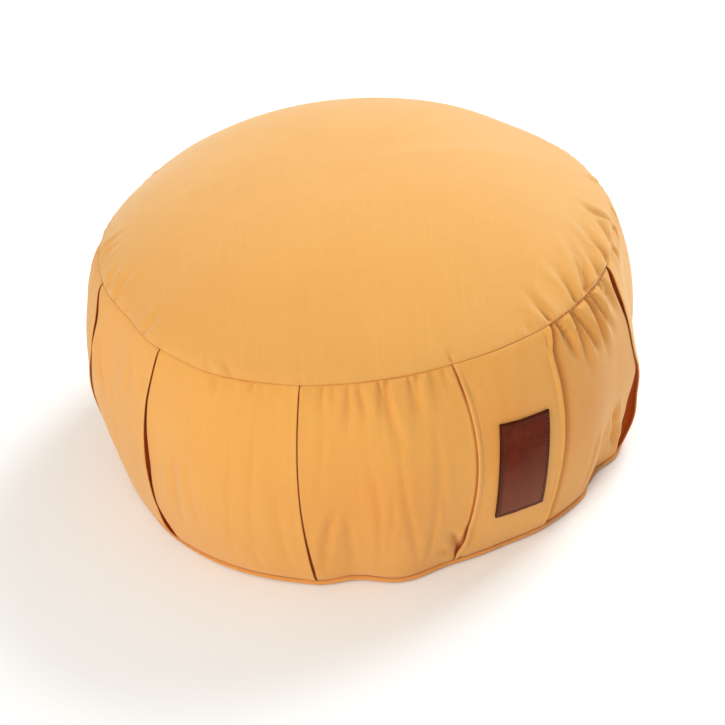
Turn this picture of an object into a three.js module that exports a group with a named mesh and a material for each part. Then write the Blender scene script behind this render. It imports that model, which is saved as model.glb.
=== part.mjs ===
// Round pleated floor cushion: a filled, pleated side band between a crowned top
// panel and a flat bottom panel, with a plain front panel lapped over the pleats
// and a small leather label sewn on it. Millimetres, +Z up, resting on z = 0.
// Azimuth is in degrees, anticlockwise from +X, so 270 is the front (-Y).
import * as THREE from 'three';
import { mergeVertices } from 'three/addons/utils/BufferGeometryUtils.js';

// ---- driving dimensions -------------------------------------------------
const BASE_SEAM_Z = 5.5;      // height of the bottom seam above the floor
const BAND_HEIGHT = 144.5;    // from the bottom seam to the top seam
const CROWN_HEIGHT = 52;      // rise of the top panel above its seam
const CROWN_ROUND = 2.5;      // how flat the crown's middle is
const CROWN_SHOULDER = 0.85;  // how steeply the crown leaves the seam
const BULGE_LEAN = 1.12;      // above 1 the band's belly sits higher than half way
const BULGE_ROUND = 0.8;      // below 1 the band turns in sharply at its seams
const CLOTH = 2;              // a panel with its turned seam allowance
const LABEL_THICKNESS = 1.6;
const GAP = 0.4;              // between two pieces that lie on each other
const FACET_GAP = 0.55;       // more of it where two sets of facets differ
const BASE_CURL = 12;         // width of the bottom panel's rounded rim
const RIM_PROUD = 0.5;        // how far that rim stands out beyond the seam
// Corners of the label, each an azimuth and a level of the band, anticlockwise
// from its bottom left.
const LABEL = [[293.5, 0.215], [304.9, 0.19], [306.0, 0.675], [294.9, 0.70]];
const CENTRE_X = -0.11;       // middle of the cushion's box, moved to the axis
const CENTRE_Y = -0.31;

// One row for each fold of the band and one for the swell between two folds.
// top, mid, base: azimuth of the line at the top seam, half way down and at the
// bottom seam. seam, foot: radius of the top and the bottom seam. belly: how far
// the band swells past the straight line between them. crown: part by which the
// crown's shoulder stands fuller there. lip: how proud the upper layer of a fold
// stands. gape: depth of the opening beside it. turn: 1 where the layer on the
// lower-azimuth side is the upper one, -1 where it is the other.
const SECTIONS = [
  { kind: 'swell', top: 6, mid: 5, base: 6, seam: 166.6, foot: 175, belly: 12, crown: 0 },
  { kind: 'pleat', top: 20, mid: 19, base: 20, seam: 165.6, foot: 174, belly: 11, crown: -0.055, lip: 1.6, gape: 3.4, turn: -1 },
  { kind: 'swell', top: 30, mid: 30, base: 30, seam: 163.9, foot: 174.5, belly: 13, crown: -0.05 },
  { kind: 'pleat', top: 42, mid: 41, base: 43, seam: 161.5, foot: 171.5, belly: 10, crown: 0, lip: 1.4, gape: 3.0, turn: -1 },
  { kind: 'swell', top: 57, mid: 57, base: 57, seam: 162.8, foot: 174, belly: 13.5, crown: 0.05 },
  { kind: 'pleat', top: 72, mid: 71, base: 72, seam: 164, foot: 171, belly: 10, crown: 0.03, lip: 1.7, gape: 3.6, turn: -1 },
  { kind: 'swell', top: 86, mid: 86, base: 86, seam: 165, foot: 173.5, belly: 13, crown: 0.02 },
  { kind: 'pleat', top: 102, mid: 101, base: 103, seam: 164.5, foot: 171.5, belly: 10.5, crown: 0.04, lip: 1.4, gape: 3.0, turn: -1 },
  { kind: 'swell', top: 117, mid: 117, base: 117, seam: 165.4, foot: 174, belly: 13.5, crown: 0.03 },
  { kind: 'pleat', top: 133, mid: 132, base: 132, seam: 165.6, foot: 171, belly: 10, crown: 0, lip: 1.5, gape: 3.4, turn: 1 },
  { kind: 'swell', top: 148, mid: 148, base: 148, seam: 162.6, foot: 173, belly: 12.5, crown: 0 },
  { kind: 'pleat', top: 163, mid: 161, base: 163, seam: 164.2, foot: 171, belly: 10.5, crown: 0, lip: 1.4, gape: 3.2, turn: 1 },
  { kind: 'swell', top: 178, mid: 177, base: 177, seam: 165, foot: 170.5, belly: 14.5, crown: 0 },
  { kind: 'pleat', top: 192.5, mid: 192, base: 186, seam: 164.3, foot: 169.7, belly: 15, crown: 0, lip: 1.0, gape: 2.8, turn: 1 },
  { kind: 'swell', top: 207, mid: 206, base: 206, seam: 162, foot: 170.6, belly: 12.2, crown: 0 },
  { kind: 'pleat', top: 223, mid: 218.8, base: 219.5, seam: 167, foot: 172.6, belly: 10.5, crown: 0, lip: 1.4, gape: 4.0, turn: 1 },
  { kind: 'swell', top: 239.5, mid: 237, base: 239, seam: 170.5, foot: 174.4, belly: 14, crown: 0 },
  { kind: 'pleat', top: 256.5, mid: 255, base: 255.5, seam: 169.5, foot: 173.6, belly: 11, crown: 0, lip: 0.8, gape: 2.4, turn: 1 },
  { kind: 'swell', top: 265, mid: 264.5, base: 264, seam: 168, foot: 168.6, belly: 12.5, crown: 0 },
  { kind: 'swell', top: 274, mid: 273.5, base: 273, seam: 167, foot: 173.2, belly: 13.5, crown: 0 },
  { kind: 'panelLeft', top: 287.5, mid: 290, base: 285, seam: 166, foot: 166, belly: 11, crown: 0 },
  { kind: 'swell', top: 299, mid: 300, base: 296, seam: 167, foot: 165.8, belly: 13, crown: 0 },
  { kind: 'panelRight', top: 310.5, mid: 309.9, base: 307, seam: 168.5, foot: 168.8, belly: 11.5, crown: 0 },
  { kind: 'swell', top: 320, mid: 320, base: 318, seam: 169, foot: 168.2, belly: 12.6, crown: 0 },
  { kind: 'swell', top: 327, mid: 328, base: 326, seam: 169, foot: 164.6, belly: 14.5, crown: 0 },
  { kind: 'pleat', top: 335.5, mid: 338.5, base: 339.5, seam: 168.2, foot: 173, belly: 12.5, crown: 0, lip: 1.6, gape: 6.5, turn: -1 },
  { kind: 'swell', top: 352, mid: 352, base: 352, seam: 165.5, foot: 173, belly: 6.5, crown: 0 },
];

// Levels up the band (0 at the bottom seam, 1 at the top seam), and rings across
// the crown and the base as a part of the seam's radius.
const LEVELS = [0, 0.05, 0.13, 0.23, 0.34, 0.46, 0.58, 0.7, 0.81, 0.9, 0.96, 1];
const CROWN_RINGS = [1, 0.97, 0.92, 0.84, 0.72, 0.55, 0.33];
const PANEL_COLUMNS = 60;

// Where columns stand beside a fold, in mm along the band: minus is to its left.
const FOLD_COLUMNS = [-12, -5, -0.6, 0.6, 5, 12];
const FOLD_REACH = 9;         // width of the opening beside a fold

// ---- shape of the band ----------------------------------------------------
const TOP_Z = BASE_SEAM_Z + BAND_HEIGHT;
const rad = (deg) => (deg * Math.PI) / 180;
const mix = (a, b, s) => a + (b - a) * s;
const ease = (s) => { const c = Math.min(1, Math.max(0, s)); return c * c * (3 - 2 * c); };

// Azimuth of a section's line at level t, a curve through its base, mid and top.
const lineAz = (row, t) =>
  row.base * (1 - t) * (1 - 2 * t) + row.mid * 4 * t * (1 - t) + row.top * t * (2 * t - 1);

// The two sections on each side of an azimuth at level t, and how far between.
function between(az, t) {
  const n = SECTIONS.length;
  for (let i = 0; i < n; i++) {
    const a = SECTIONS[i], b = SECTIONS[(i + 1) % n];
    const from = lineAz(a, t);
    const span = (((lineAz(b, t) - from) % 360) + 360) % 360;
    const into = (((az - from) % 360) + 360) % 360;
    if (into <= span) return { a, b, s: into / span };
  }
  return { a: SECTIONS[0], b: SECTIONS[1], s: 0 };
}
function lookUp(column, az, t) {
  const { a, b, s } = between(az, t);
  return mix(a[column], b[column], ease(s));
}
const seamRadius = (az) => lookUp('seam', az, 1);
const footRadius = (az) => lookUp('foot', az, 0);

// Radius of the band's smooth outer surface.
function bandRadius(az, t) {
  const straight = mix(lookUp('foot', az, t), lookUp('seam', az, t), t);
  const swell = Math.sin(Math.PI * Math.pow(t, BULGE_LEAN));
  return straight + lookUp('belly', az, t) * Math.pow(Math.max(0, swell), BULGE_ROUND);
}

// How far a fold moves the surface, d mm beside its line at level t.
function foldOffset(row, d, t) {
  const open = 0.25 + 0.75 * Math.pow(Math.max(0, Math.sin(Math.PI * t)), 0.45);
  if (row.kind === 'pleat') {
    const e = d * row.turn;
    if (e < 0) return row.lip * open * ease((e + 20) / 14);
    return -row.gape * open * (1 - ease(e / FOLD_REACH));
  }
  const under = CLOTH + GAP + 0.5;
  const inside = row.kind === 'panelLeft' ? d > 0 : d < 0;
  if (inside) return -under;
  return -under * (1 - ease((Math.abs(d) - 1) / 13));
}

// Columns of the band's grid: beside each fold and across each swell.
function bandColumns() {
  const folds = SECTIONS.filter((row) => row.kind !== 'swell');
  const columns = [];
  folds.forEach((row, i) => {
    const next = folds[(i + 1) % folds.length];
    FOLD_COLUMNS.forEach((d) => columns.push({ row, d }));
    [0.2, 0.4, 0.6, 0.8].forEach((share) => columns.push({ row, next, share }));
  });
  return columns;
}

// Azimuth of a grid column at level t. Its place beside a fold is in mm.
function columnAz(column, t) {
  const perMm = 360 / (2 * Math.PI * 175);
  const from = lineAz(column.row, t);
  if (column.next === undefined) return from + column.d * perMm;
  const last = FOLD_COLUMNS[FOLD_COLUMNS.length - 1] * perMm;
  const first = FOLD_COLUMNS[0] * perMm;
  const span = (((lineAz(column.next, t) - from) % 360) + 360) % 360;
  return mix(from + last, from + span + first, column.share);
}

// Sum of the fold offsets that reach a point, plus the recess under the panel.
function surfaceOffset(az, t) {
  const left = SECTIONS.find((row) => row.kind === 'panelLeft');
  const right = SECTIONS.find((row) => row.kind === 'panelRight');
  const toMm = (2 * Math.PI * 175) / 360;
  if (az > lineAz(left, t) && az < lineAz(right, t)) return -(CLOTH + GAP + 0.5);
  let sum = 0;
  for (const row of SECTIONS) {
    if (row.kind === 'swell') continue;
    let d = (((az - lineAz(row, t)) % 360) + 540) % 360 - 180;
    d *= toMm;
    if (Math.abs(d) < 20) sum += foldOffset(row, d, t);
  }
  return sum;
}

// ---- profiles in the plane of one azimuth --------------------------------
const crownZ = (ring, az) =>
  TOP_Z + CROWN_HEIGHT * Math.pow(1 - Math.pow(ring, CROWN_ROUND), CROWN_SHOULDER)
  * (1 + lookUp('crown', az, 1) * 4 * ring * ring * (1 - ring * ring));

// A point of the crown, moved into the cushion by depth along its normal.
function crownPoint(az, ring, depth) {
  const R = seamRadius(az);
  const e = 0.012;
  const a = Math.min(1, ring + e), b = Math.max(0, ring - e);
  const run = R * (a - b), fall = crownZ(b, az) - crownZ(a, az);
  const length = Math.hypot(run, fall);
  const tilt = ring >= 1 ? Math.SQRT1_2 : fall / length;
  const flat = ring >= 1 ? Math.SQRT1_2 : run / length;
  return { r: R * ring - depth * tilt, z: crownZ(ring, az) - depth * flat };
}

// The bottom panel: flat on the floor, then a rounded rim up to the seam.
const BASE_PROFILE = [
  { out: 0, z: -0.2, tilt: 0.35 },
  { out: RIM_PROUD, z: -2.3, tilt: 0.97 },
  { out: -0.6, z: -4.1, tilt: 0.6 },
  { out: -3.6, z: -5.2, tilt: 0.15 },
  { out: -BASE_CURL, z: -5.5, tilt: 0 },
];
function basePoint(az, i, depth) {
  const row = BASE_PROFILE[i];
  const level = Math.sqrt(1 - row.tilt * row.tilt);
  const up = i === 0 ? -level : level;
  return { r: footRadius(az) + row.out - depth * row.tilt, z: BASE_SEAM_Z + row.z + depth * up };
}

// ---- meshes ---------------------------------------------------------------
const at = (az, r, z) => [
  r * Math.cos(rad(az)) - CENTRE_X, r * Math.sin(rad(az)) - CENTRE_Y, z,
];

// A closed body of rings from its lowest middle point to its highest.
function ringsToGeometry(rings, low, high) {
  const points = [low];
  rings.forEach((ring) => ring.forEach((p) => points.push(p)));
  points.push(high);
  const n = rings[0].length, index = [];
  for (let j = 0; j < n; j++) index.push(0, 1 + ((j + 1) % n), 1 + j);
  for (let i = 0; i + 1 < rings.length; i++) {
    const a = 1 + i * n, b = a + n;
    for (let j = 0; j < n; j++) {
      const k = (j + 1) % n;
      index.push(a + j, a + k, b + k, a + j, b + k, b + j);
    }
  }
  const last = 1 + (rings.length - 1) * n, top = points.length - 1;
  for (let j = 0; j < n; j++) index.push(top, last + j, last + ((j + 1) % n));
  return toGeometry(points, index);
}

// A closed patch: an outer and an inner grid, joined along their four edges.
function patchToGeometry(outer, inner) {
  const rows = outer.length, cols = outer[0].length, points = [...outer.flat(), ...inner.flat()];
  const o = (i, j) => i * cols + j, n = (i, j) => rows * cols + i * cols + j;
  const index = [];
  for (let i = 0; i + 1 < rows; i++) {
    for (let j = 0; j + 1 < cols; j++) {
      index.push(o(i, j), o(i, j + 1), o(i + 1, j + 1), o(i, j), o(i + 1, j + 1), o(i + 1, j));
      index.push(n(i, j), n(i + 1, j + 1), n(i, j + 1), n(i, j), n(i + 1, j), n(i + 1, j + 1));
    }
  }
  for (let j = 0; j + 1 < cols; j++) {
    index.push(o(0, j), n(0, j + 1), o(0, j + 1), o(0, j), n(0, j), n(0, j + 1));
    const r = rows - 1;
    index.push(o(r, j), o(r, j + 1), n(r, j + 1), o(r, j), n(r, j + 1), n(r, j));
  }
  for (let i = 0; i + 1 < rows; i++) {
    index.push(o(i, 0), o(i + 1, 0), n(i + 1, 0), o(i, 0), n(i + 1, 0), n(i, 0));
    const c = cols - 1;
    index.push(o(i, c), n(i + 1, c), o(i + 1, c), o(i, c), n(i, c), n(i + 1, c));
  }
  return toGeometry(points, index);
}

function toGeometry(points, index) {
  const geometry = new THREE.BufferGeometry();
  geometry.setAttribute('position', new THREE.Float32BufferAttribute(points.flat(), 3));
  geometry.setIndex(index);
  return mergeVertices(geometry, 1e-4);
}

// The filled band: its pleated outside, closed under the crown and over the base.
function sideBand() {
  const columns = bandColumns();
  const under = CLOTH + GAP;
  const ring = (t, place) => columns.map((column) => {
    const az = columnAz(column, t);
    const p = place(az, t);
    return at(az, p.r, p.z);
  });
  const rings = [];
  for (const inset of [70, BASE_CURL + 2]) {
    rings.push(ring(0, (az) => ({ r: footRadius(az) - inset, z: under })));
  }
  rings.push(ring(0, (az) => ({ r: footRadius(az) - 8, z: under + 0.4 })));
  rings.push(ring(0, (az) => ({ r: footRadius(az) - 4.2, z: under + 1.9 })));
  rings.push(ring(0, (az) => {
    const q = Math.max(3.0, -surfaceOffset(az, 0.03) + 0.2);
    return { r: footRadius(az) - q, z: BASE_SEAM_Z + q - 1.2 };
  }));
  for (const t of LEVELS) {
    rings.push(ring(t, (az) => {
      const offset = surfaceOffset(az, Math.min(0.97, Math.max(0.03, t)));
      const edge = t === 0 ? GAP - Math.min(0, offset) : t === 1 ? -GAP - FACET_GAP + Math.min(0, offset) : 0;
      const lowered = t === 0 || t === 1 ? Math.min(0, offset) : offset;
      return { r: bandRadius(az, t) + lowered, z: BASE_SEAM_Z + BAND_HEIGHT * t + edge };
    }));
  }
  rings.push(ring(1, (az) => {
    const q = Math.max(1.8, -surfaceOffset(az, 0.97) + 0.15);
    return { r: seamRadius(az) - q, z: TOP_Z - q - GAP - FACET_GAP - 0.15 };
  }));
  for (const share of CROWN_RINGS.slice(1)) {
    rings.push(ring(1, (az) => crownPoint(az, share, under + FACET_GAP)));
  }
  return ringsToGeometry(rings, at(0, 0, under), at(0, 0, TOP_Z + CROWN_HEIGHT - under - FACET_GAP));
}

// The top panel: a crowned sheet from seam to seam.
function topPanel() {
  const azimuths = Array.from({ length: PANEL_COLUMNS }, (_, i) => (360 * i) / PANEL_COLUMNS);
  const layer = (share, depth) => azimuths.map((az) => {
    const p = crownPoint(az, share, depth);
    return at(az, p.r, p.z);
  });
  const rings = [];
  for (const share of [...CROWN_RINGS].reverse()) rings.push(layer(share, CLOTH));
  for (const share of CROWN_RINGS) rings.push(layer(share, 0));
  return ringsToGeometry(
    rings, at(0, 0, TOP_Z + CROWN_HEIGHT - CLOTH), at(0, 0, TOP_Z + CROWN_HEIGHT));
}

// The bottom panel: a shallow dish, flat where it rests.
function bottomPanel() {
  const azimuths = Array.from({ length: PANEL_COLUMNS }, (_, i) => (360 * i) / PANEL_COLUMNS);
  const order = BASE_PROFILE.map((_, i) => i);
  const layer = (i, depth) => azimuths.map((az) => {
    const p = basePoint(az, i, depth);
    return at(az, p.r, p.z);
  });
  const rings = [];
  for (const i of [...order].reverse()) rings.push(layer(i, 0));
  for (const i of order.slice(1)) rings.push(layer(i, CLOTH));
  return ringsToGeometry(rings, at(0, 0, 0), at(0, 0, CLOTH));
}

// The front panel: one plain width of cloth over the folds on both sides of it.
function frontPanel() {
  const left = SECTIONS.find((row) => row.kind === 'panelLeft');
  const right = SECTIONS.find((row) => row.kind === 'panelRight');
  const across = [0, 0.03, 0.15, 0.3, 0.5, 0.7, 0.85, 0.97, 1];
  const layer = (depth, mitre) => LEVELS.map((t) => across.map((s) => {
    const az = mix(lineAz(left, t), lineAz(right, t), s);
    const end = t === 0 ? GAP + mitre : t === 1 ? -GAP - FACET_GAP - mitre : 0;
    return at(az, bandRadius(az, t) - depth, BASE_SEAM_Z + BAND_HEIGHT * t + end);
  }));
  return patchToGeometry(layer(0, 0), layer(CLOTH, CLOTH));
}

// The leather label, curved with the panel that it is sewn to.
function leatherLabel() {
  const rows = 6, cols = 5;
  const layer = (height) => Array.from({ length: rows + 1 }, (_, i) =>
    Array.from({ length: cols + 1 }, (_, j) => {
      const [az, t] = [0, 1].map((k) => mix(
        mix(LABEL[0][k], LABEL[1][k], j / cols), mix(LABEL[3][k], LABEL[2][k], j / cols), i / rows));
      return at(az, bandRadius(az, t) + height, BASE_SEAM_Z + BAND_HEIGHT * t);
    }));
  return patchToGeometry(layer(0.45 + LABEL_THICKNESS), layer(0.45));
}

// ---- the cushion ------------------------------------------------------------
const cotton = new THREE.MeshStandardMaterial({ color: 0xe9a75e, roughness: 0.85, metalness: 0 });
const leather = new THREE.MeshStandardMaterial({ color: 0x63311f, roughness: 0.5, metalness: 0 });

const group = new THREE.Group();
const pieces = [
  ['side_band', sideBand(), cotton],
  ['top_panel', topPanel(), cotton],
  ['bottom_panel', bottomPanel(), cotton],
  ['front_panel', frontPanel(), cotton],
  ['leather_label', leatherLabel(), leather],
];
for (const [name, geometry, material] of pieces) {
  const mesh = new THREE.Mesh(geometry, material);
  mesh.name = name;
  group.add(mesh);
}

export default group;
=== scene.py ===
"""Round pleated meditation cushion: a cotton cover over loose fill, with a front panel and a leather label.

Lengths are in millimetres while shapes are worked out, and metres in the meshes. Azimuth is in degrees,
anticlockwise from +X seen from above, so 270 is the front.
"""
import math

import bpy
import numpy as np
from mathutils import Matrix, Vector


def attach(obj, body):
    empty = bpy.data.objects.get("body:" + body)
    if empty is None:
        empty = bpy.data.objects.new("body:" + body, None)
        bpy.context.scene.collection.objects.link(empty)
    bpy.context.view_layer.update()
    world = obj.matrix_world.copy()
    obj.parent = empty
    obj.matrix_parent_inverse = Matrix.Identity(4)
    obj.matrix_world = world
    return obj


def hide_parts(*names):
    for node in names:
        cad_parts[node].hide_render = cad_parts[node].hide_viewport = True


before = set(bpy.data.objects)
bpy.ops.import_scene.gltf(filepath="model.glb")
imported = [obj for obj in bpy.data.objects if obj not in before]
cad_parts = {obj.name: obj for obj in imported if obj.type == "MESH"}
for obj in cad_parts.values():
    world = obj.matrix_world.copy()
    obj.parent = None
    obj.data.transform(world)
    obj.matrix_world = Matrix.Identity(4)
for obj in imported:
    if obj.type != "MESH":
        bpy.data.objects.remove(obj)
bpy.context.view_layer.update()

# ---------------------------------------------------------------- sizes of the cushion, in mm
BAND_HEIGHT = 145.5
TOP_Z = 150.0
CROWN_HEIGHT = 52.0
CROWN_ROUND = 2.5
CROWN_SHOULDER = 0.85
BULGE_LEAN = 1.12
BULGE_ROUND = 0.8
CENTRE = np.array([-0.11, -0.31, 0.0])
SEAM_GROOVE = 1.3       # how far cloth is drawn into a seam
CLOTH = 1.3             # one panel with its allowance
AROUND = 175.0          # radius that turns degrees into mm along the band

# One row for each fold and each swell between folds, as in the CAD model. turn is 1 where the cloth on the
# lower-azimuth side laps over the other, and -1 where it is the other way round.
# lift is the height of the bottom seam, and crown a part by which the crown's shoulder stands fuller.
COLUMNS = ("kind", "top", "mid", "base", "seam", "foot", "belly", "lift", "crown", "turn")
SECTIONS = [dict(zip(COLUMNS, row)) for row in (
    ("swell", 6, 5, 6, 166.6, 175.0, 12.0, 4.0, 0.0, 0),
    ("pleat", 20, 19, 20, 165.6, 174.0, 11.0, 3.8, -0.055, -1),
    ("swell", 30, 30, 30, 163.9, 174.5, 13.0, 3.4, -0.05, 0),
    ("pleat", 42, 41, 43, 161.5, 171.5, 10.0, 3.4, 0.0, -1),
    ("swell", 57, 57, 57, 162.8, 174.0, 13.5, 3.4, 0.05, 0),
    ("pleat", 72, 71, 72, 164.0, 171.0, 10.0, 3.4, 0.03, -1),
    ("swell", 86, 86, 86, 165.0, 173.5, 13.0, 3.4, 0.02, 0),
    ("pleat", 102, 101, 103, 164.5, 171.5, 10.5, 3.4, 0.04, -1),
    ("swell", 117, 117, 117, 165.4, 174.0, 13.5, 3.4, 0.03, 0),
    ("pleat", 133, 132, 132, 165.6, 171.0, 10.0, 3.4, 0.0, 1),
    ("swell", 148, 148, 148, 162.6, 173.0, 12.5, 3.2, 0.0, 0),
    ("pleat", 163, 161, 163, 164.2, 171.0, 10.5, 3.0, 0.0, 1),
    ("swell", 178, 177, 177, 165.0, 170.5, 14.5, 2.6, 0.0, 0),
    ("pleat", 191.5, 190.5, 189, 164.3, 169.7, 15.0, 2.0, 0.0, 1),
    ("swell", 207, 205, 206, 162.0, 170.6, 12.2, 1.7, 0.0, 0),
    ("pleat", 223, 219, 222.5, 167.0, 172.6, 10.5, 1.8, 0.0, 1),
    ("swell", 239.5, 237, 239, 170.5, 174.4, 14.0, 3.2, 0.0, 0),
    ("pleat", 256.5, 255, 255.5, 169.5, 173.6, 11.0, 3.4, 0.0, 1),
    ("swell", 265, 264.5, 264, 168.0, 168.6, 12.5, 4.0, 0.0, 0),
    ("swell", 274, 273.5, 273, 167.0, 173.2, 13.5, 3.2, 0.0, 0),
    ("panel_left", 287.5, 290, 285, 166.0, 166.0, 11.0, 3.2, 0.0, 0),
    ("swell", 299, 300, 296, 167.0, 165.8, 13.0, 3.0, 0.0, 0),
    ("panel_right", 311, 309.7, 307, 168.5, 168.8, 11.5, 3.0, 0.0, 0),
    ("swell", 320, 320, 320.2, 169.0, 169.6, 12.4, 2.8, 0.0, 0),
    ("swell", 327, 328.5, 327.4, 169.0, 163.2, 14.6, 2.6, 0.0, 0),
    ("pleat", 335.5, 340, 337, 168.2, 173.0, 13.0, 3.4, 0.0, -1),
    ("swell", 352, 352, 351, 165.5, 172.5, 5.5, 3.6, 0.0, 0),
)]
# The cloth beyond the right pleat sags outwards low down: out in mm, wide in degrees, tall as a part of the band.
SAG = dict(az=347.0, t=0.10, out=4.8, wide=6.0, tall=0.08)
# Folds whose line isn't a plain curve: azimuths at LINE_LEVELS of the band.
LINE_LEVELS = (0.0, 0.08, 0.2, 0.34, 0.45, 0.5, 0.6, 0.75, 0.9, 1.0)
LINES = {
    191.5: (184.0, 185.2, 186.8, 188.6, 190.4, 191.5, 193.4, 195.6, 195.6, 191.6),
    223: (220.8, 218.3, 217.4, 218.0, 218.5, 218.8, 219.3, 220.3, 222.0, 223.0),
    311: (307.0, 307.7, 308.6, 309.4, 309.8, 309.9, 310.0, 309.8, 309.1, 310.9),
    335.5: (337.0, 340.5, 343.4, 342.4, 339.8, 338.0, 336.2, 335.6, 334.8, 335.5),
}

# How each fold stands along its height: lip is how proud the upper layer is, gape how deep the opening beside
# it and open how wide, in mm, at these levels of the band.
FOLD_LEVELS = (0.0, 0.06, 0.16, 0.3, 0.42, 0.5, 0.6, 0.75, 0.9, 0.96, 1.0)
FOLDS = {
    20: dict(lip=(0.3, 0.8, 1.1, 1.4, 1.6, 1.6, 1.5, 1.4, 1.1, 0.7, 0.3),
            gape=(0.8, 3.0, 3.6, 3.4, 3.0, 2.8, 2.8, 3.0, 3.4, 2.4, 0.8),
            open=(1.2, 2.6, 2.8, 2.4, 2.2, 2.0, 2.0, 2.2, 2.6, 1.8, 1.0)),
    42: dict(lip=(0.3, 0.7, 1.0, 1.2, 1.4, 1.4, 1.3, 1.2, 1.0, 0.6, 0.3),
             gape=(0.8, 2.4, 3.0, 3.0, 2.6, 2.4, 2.4, 2.6, 3.0, 2.2, 0.8),
             open=(1.2, 2.0, 2.2, 2.0, 1.8, 1.8, 1.8, 2.0, 2.4, 1.8, 1.0)),
    72: dict(lip=(0.3, 0.8, 1.2, 1.6, 1.7, 1.6, 1.4, 1.2, 1.0, 0.6, 0.3),
             gape=(0.8, 3.2, 4.0, 3.6, 3.0, 2.6, 2.6, 2.8, 3.2, 2.4, 0.8),
             open=(1.2, 3.0, 3.4, 2.8, 2.2, 2.0, 1.8, 2.0, 2.4, 1.8, 1.0)),
    102: dict(lip=(0.3, 0.6, 0.9, 1.2, 1.4, 1.5, 1.4, 1.3, 1.1, 0.7, 0.3),
              gape=(0.8, 2.2, 2.6, 2.8, 2.8, 2.8, 2.8, 3.0, 3.0, 2.2, 0.8),
              open=(1.2, 1.8, 2.0, 2.0, 2.0, 2.0, 2.0, 2.2, 2.4, 1.8, 1.0)),
    133: dict(lip=(0.3, 0.8, 1.2, 1.4, 1.5, 1.5, 1.4, 1.2, 1.0, 0.6, 0.3),
              gape=(0.8, 3.0, 3.6, 3.2, 2.8, 2.6, 2.4, 2.6, 3.0, 2.2, 0.8),
              open=(1.2, 2.6, 3.0, 2.4, 2.0, 1.8, 1.8, 2.0, 2.2, 1.6, 1.0)),
    163: dict(lip=(0.3, 0.7, 1.0, 1.3, 1.4, 1.4, 1.4, 1.3, 1.1, 0.7, 0.3),
              gape=(0.8, 2.2, 2.8, 3.0, 2.8, 2.6, 2.6, 3.0, 3.4, 2.6, 0.8),
              open=(1.2, 1.8, 2.2, 2.2, 2.0, 1.8, 1.8, 2.2, 2.8, 2.0, 1.0)),
    191.5: dict(lip=(0.3, 0.6, 0.8, 0.9, 1.0, 1.0, 0.9, 0.45, 1.0, 0.9, 0.3),
                gape=(0.7, 1.6, 1.8, 2.2, 2.6, 3.0, 2.8, 1.2, 2.8, 2.2, 0.8),
                open=(1.0, 1.4, 1.6, 1.8, 2.0, 2.4, 2.2, 1.0, 2.4, 1.8, 1.0)),
    223: dict(lip=(0.3, 1.8, 0.8, 1.2, 1.5, 1.3, 1.0, 0.7, 0.5, 0.5, 0.3),
              gape=(2.4, 5.0, 1.7, 2.8, 4.2, 3.8, 2.8, 2.0, 1.6, 1.6, 0.8),
              open=(2.6, 4.6, 1.1, 1.7, 3.4, 3.0, 2.2, 1.4, 1.1, 1.2, 1.0)),
    256.5: dict(lip=(0.3, 0.9, 0.9, 0.7, 0.55, 0.5, 0.5, 0.5, 0.55, 0.5, 0.3),
                gape=(1.2, 2.8, 2.6, 1.9, 1.5, 1.4, 1.4, 1.4, 1.5, 1.4, 0.8),
                open=(1.4, 2.2, 1.8, 1.3, 1.1, 1.0, 1.0, 1.0, 1.1, 1.1, 1.0)),
    335.5: dict(lip=(0.4, 1.2, 1.8, 1.8, 1.2, 0.9, 0.8, 0.9, 1.4, 1.0, 0.4),
                gape=(1.2, 6.6, 10.0, 9.6, 3.4, 1.8, 1.4, 1.5, 5.2, 4.6, 0.8),
                open=(2.0, 11.0, 19.0, 18.0, 3.4, 1.4, 1.1, 1.2, 4.6, 4.0, 1.0)),
}

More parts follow.
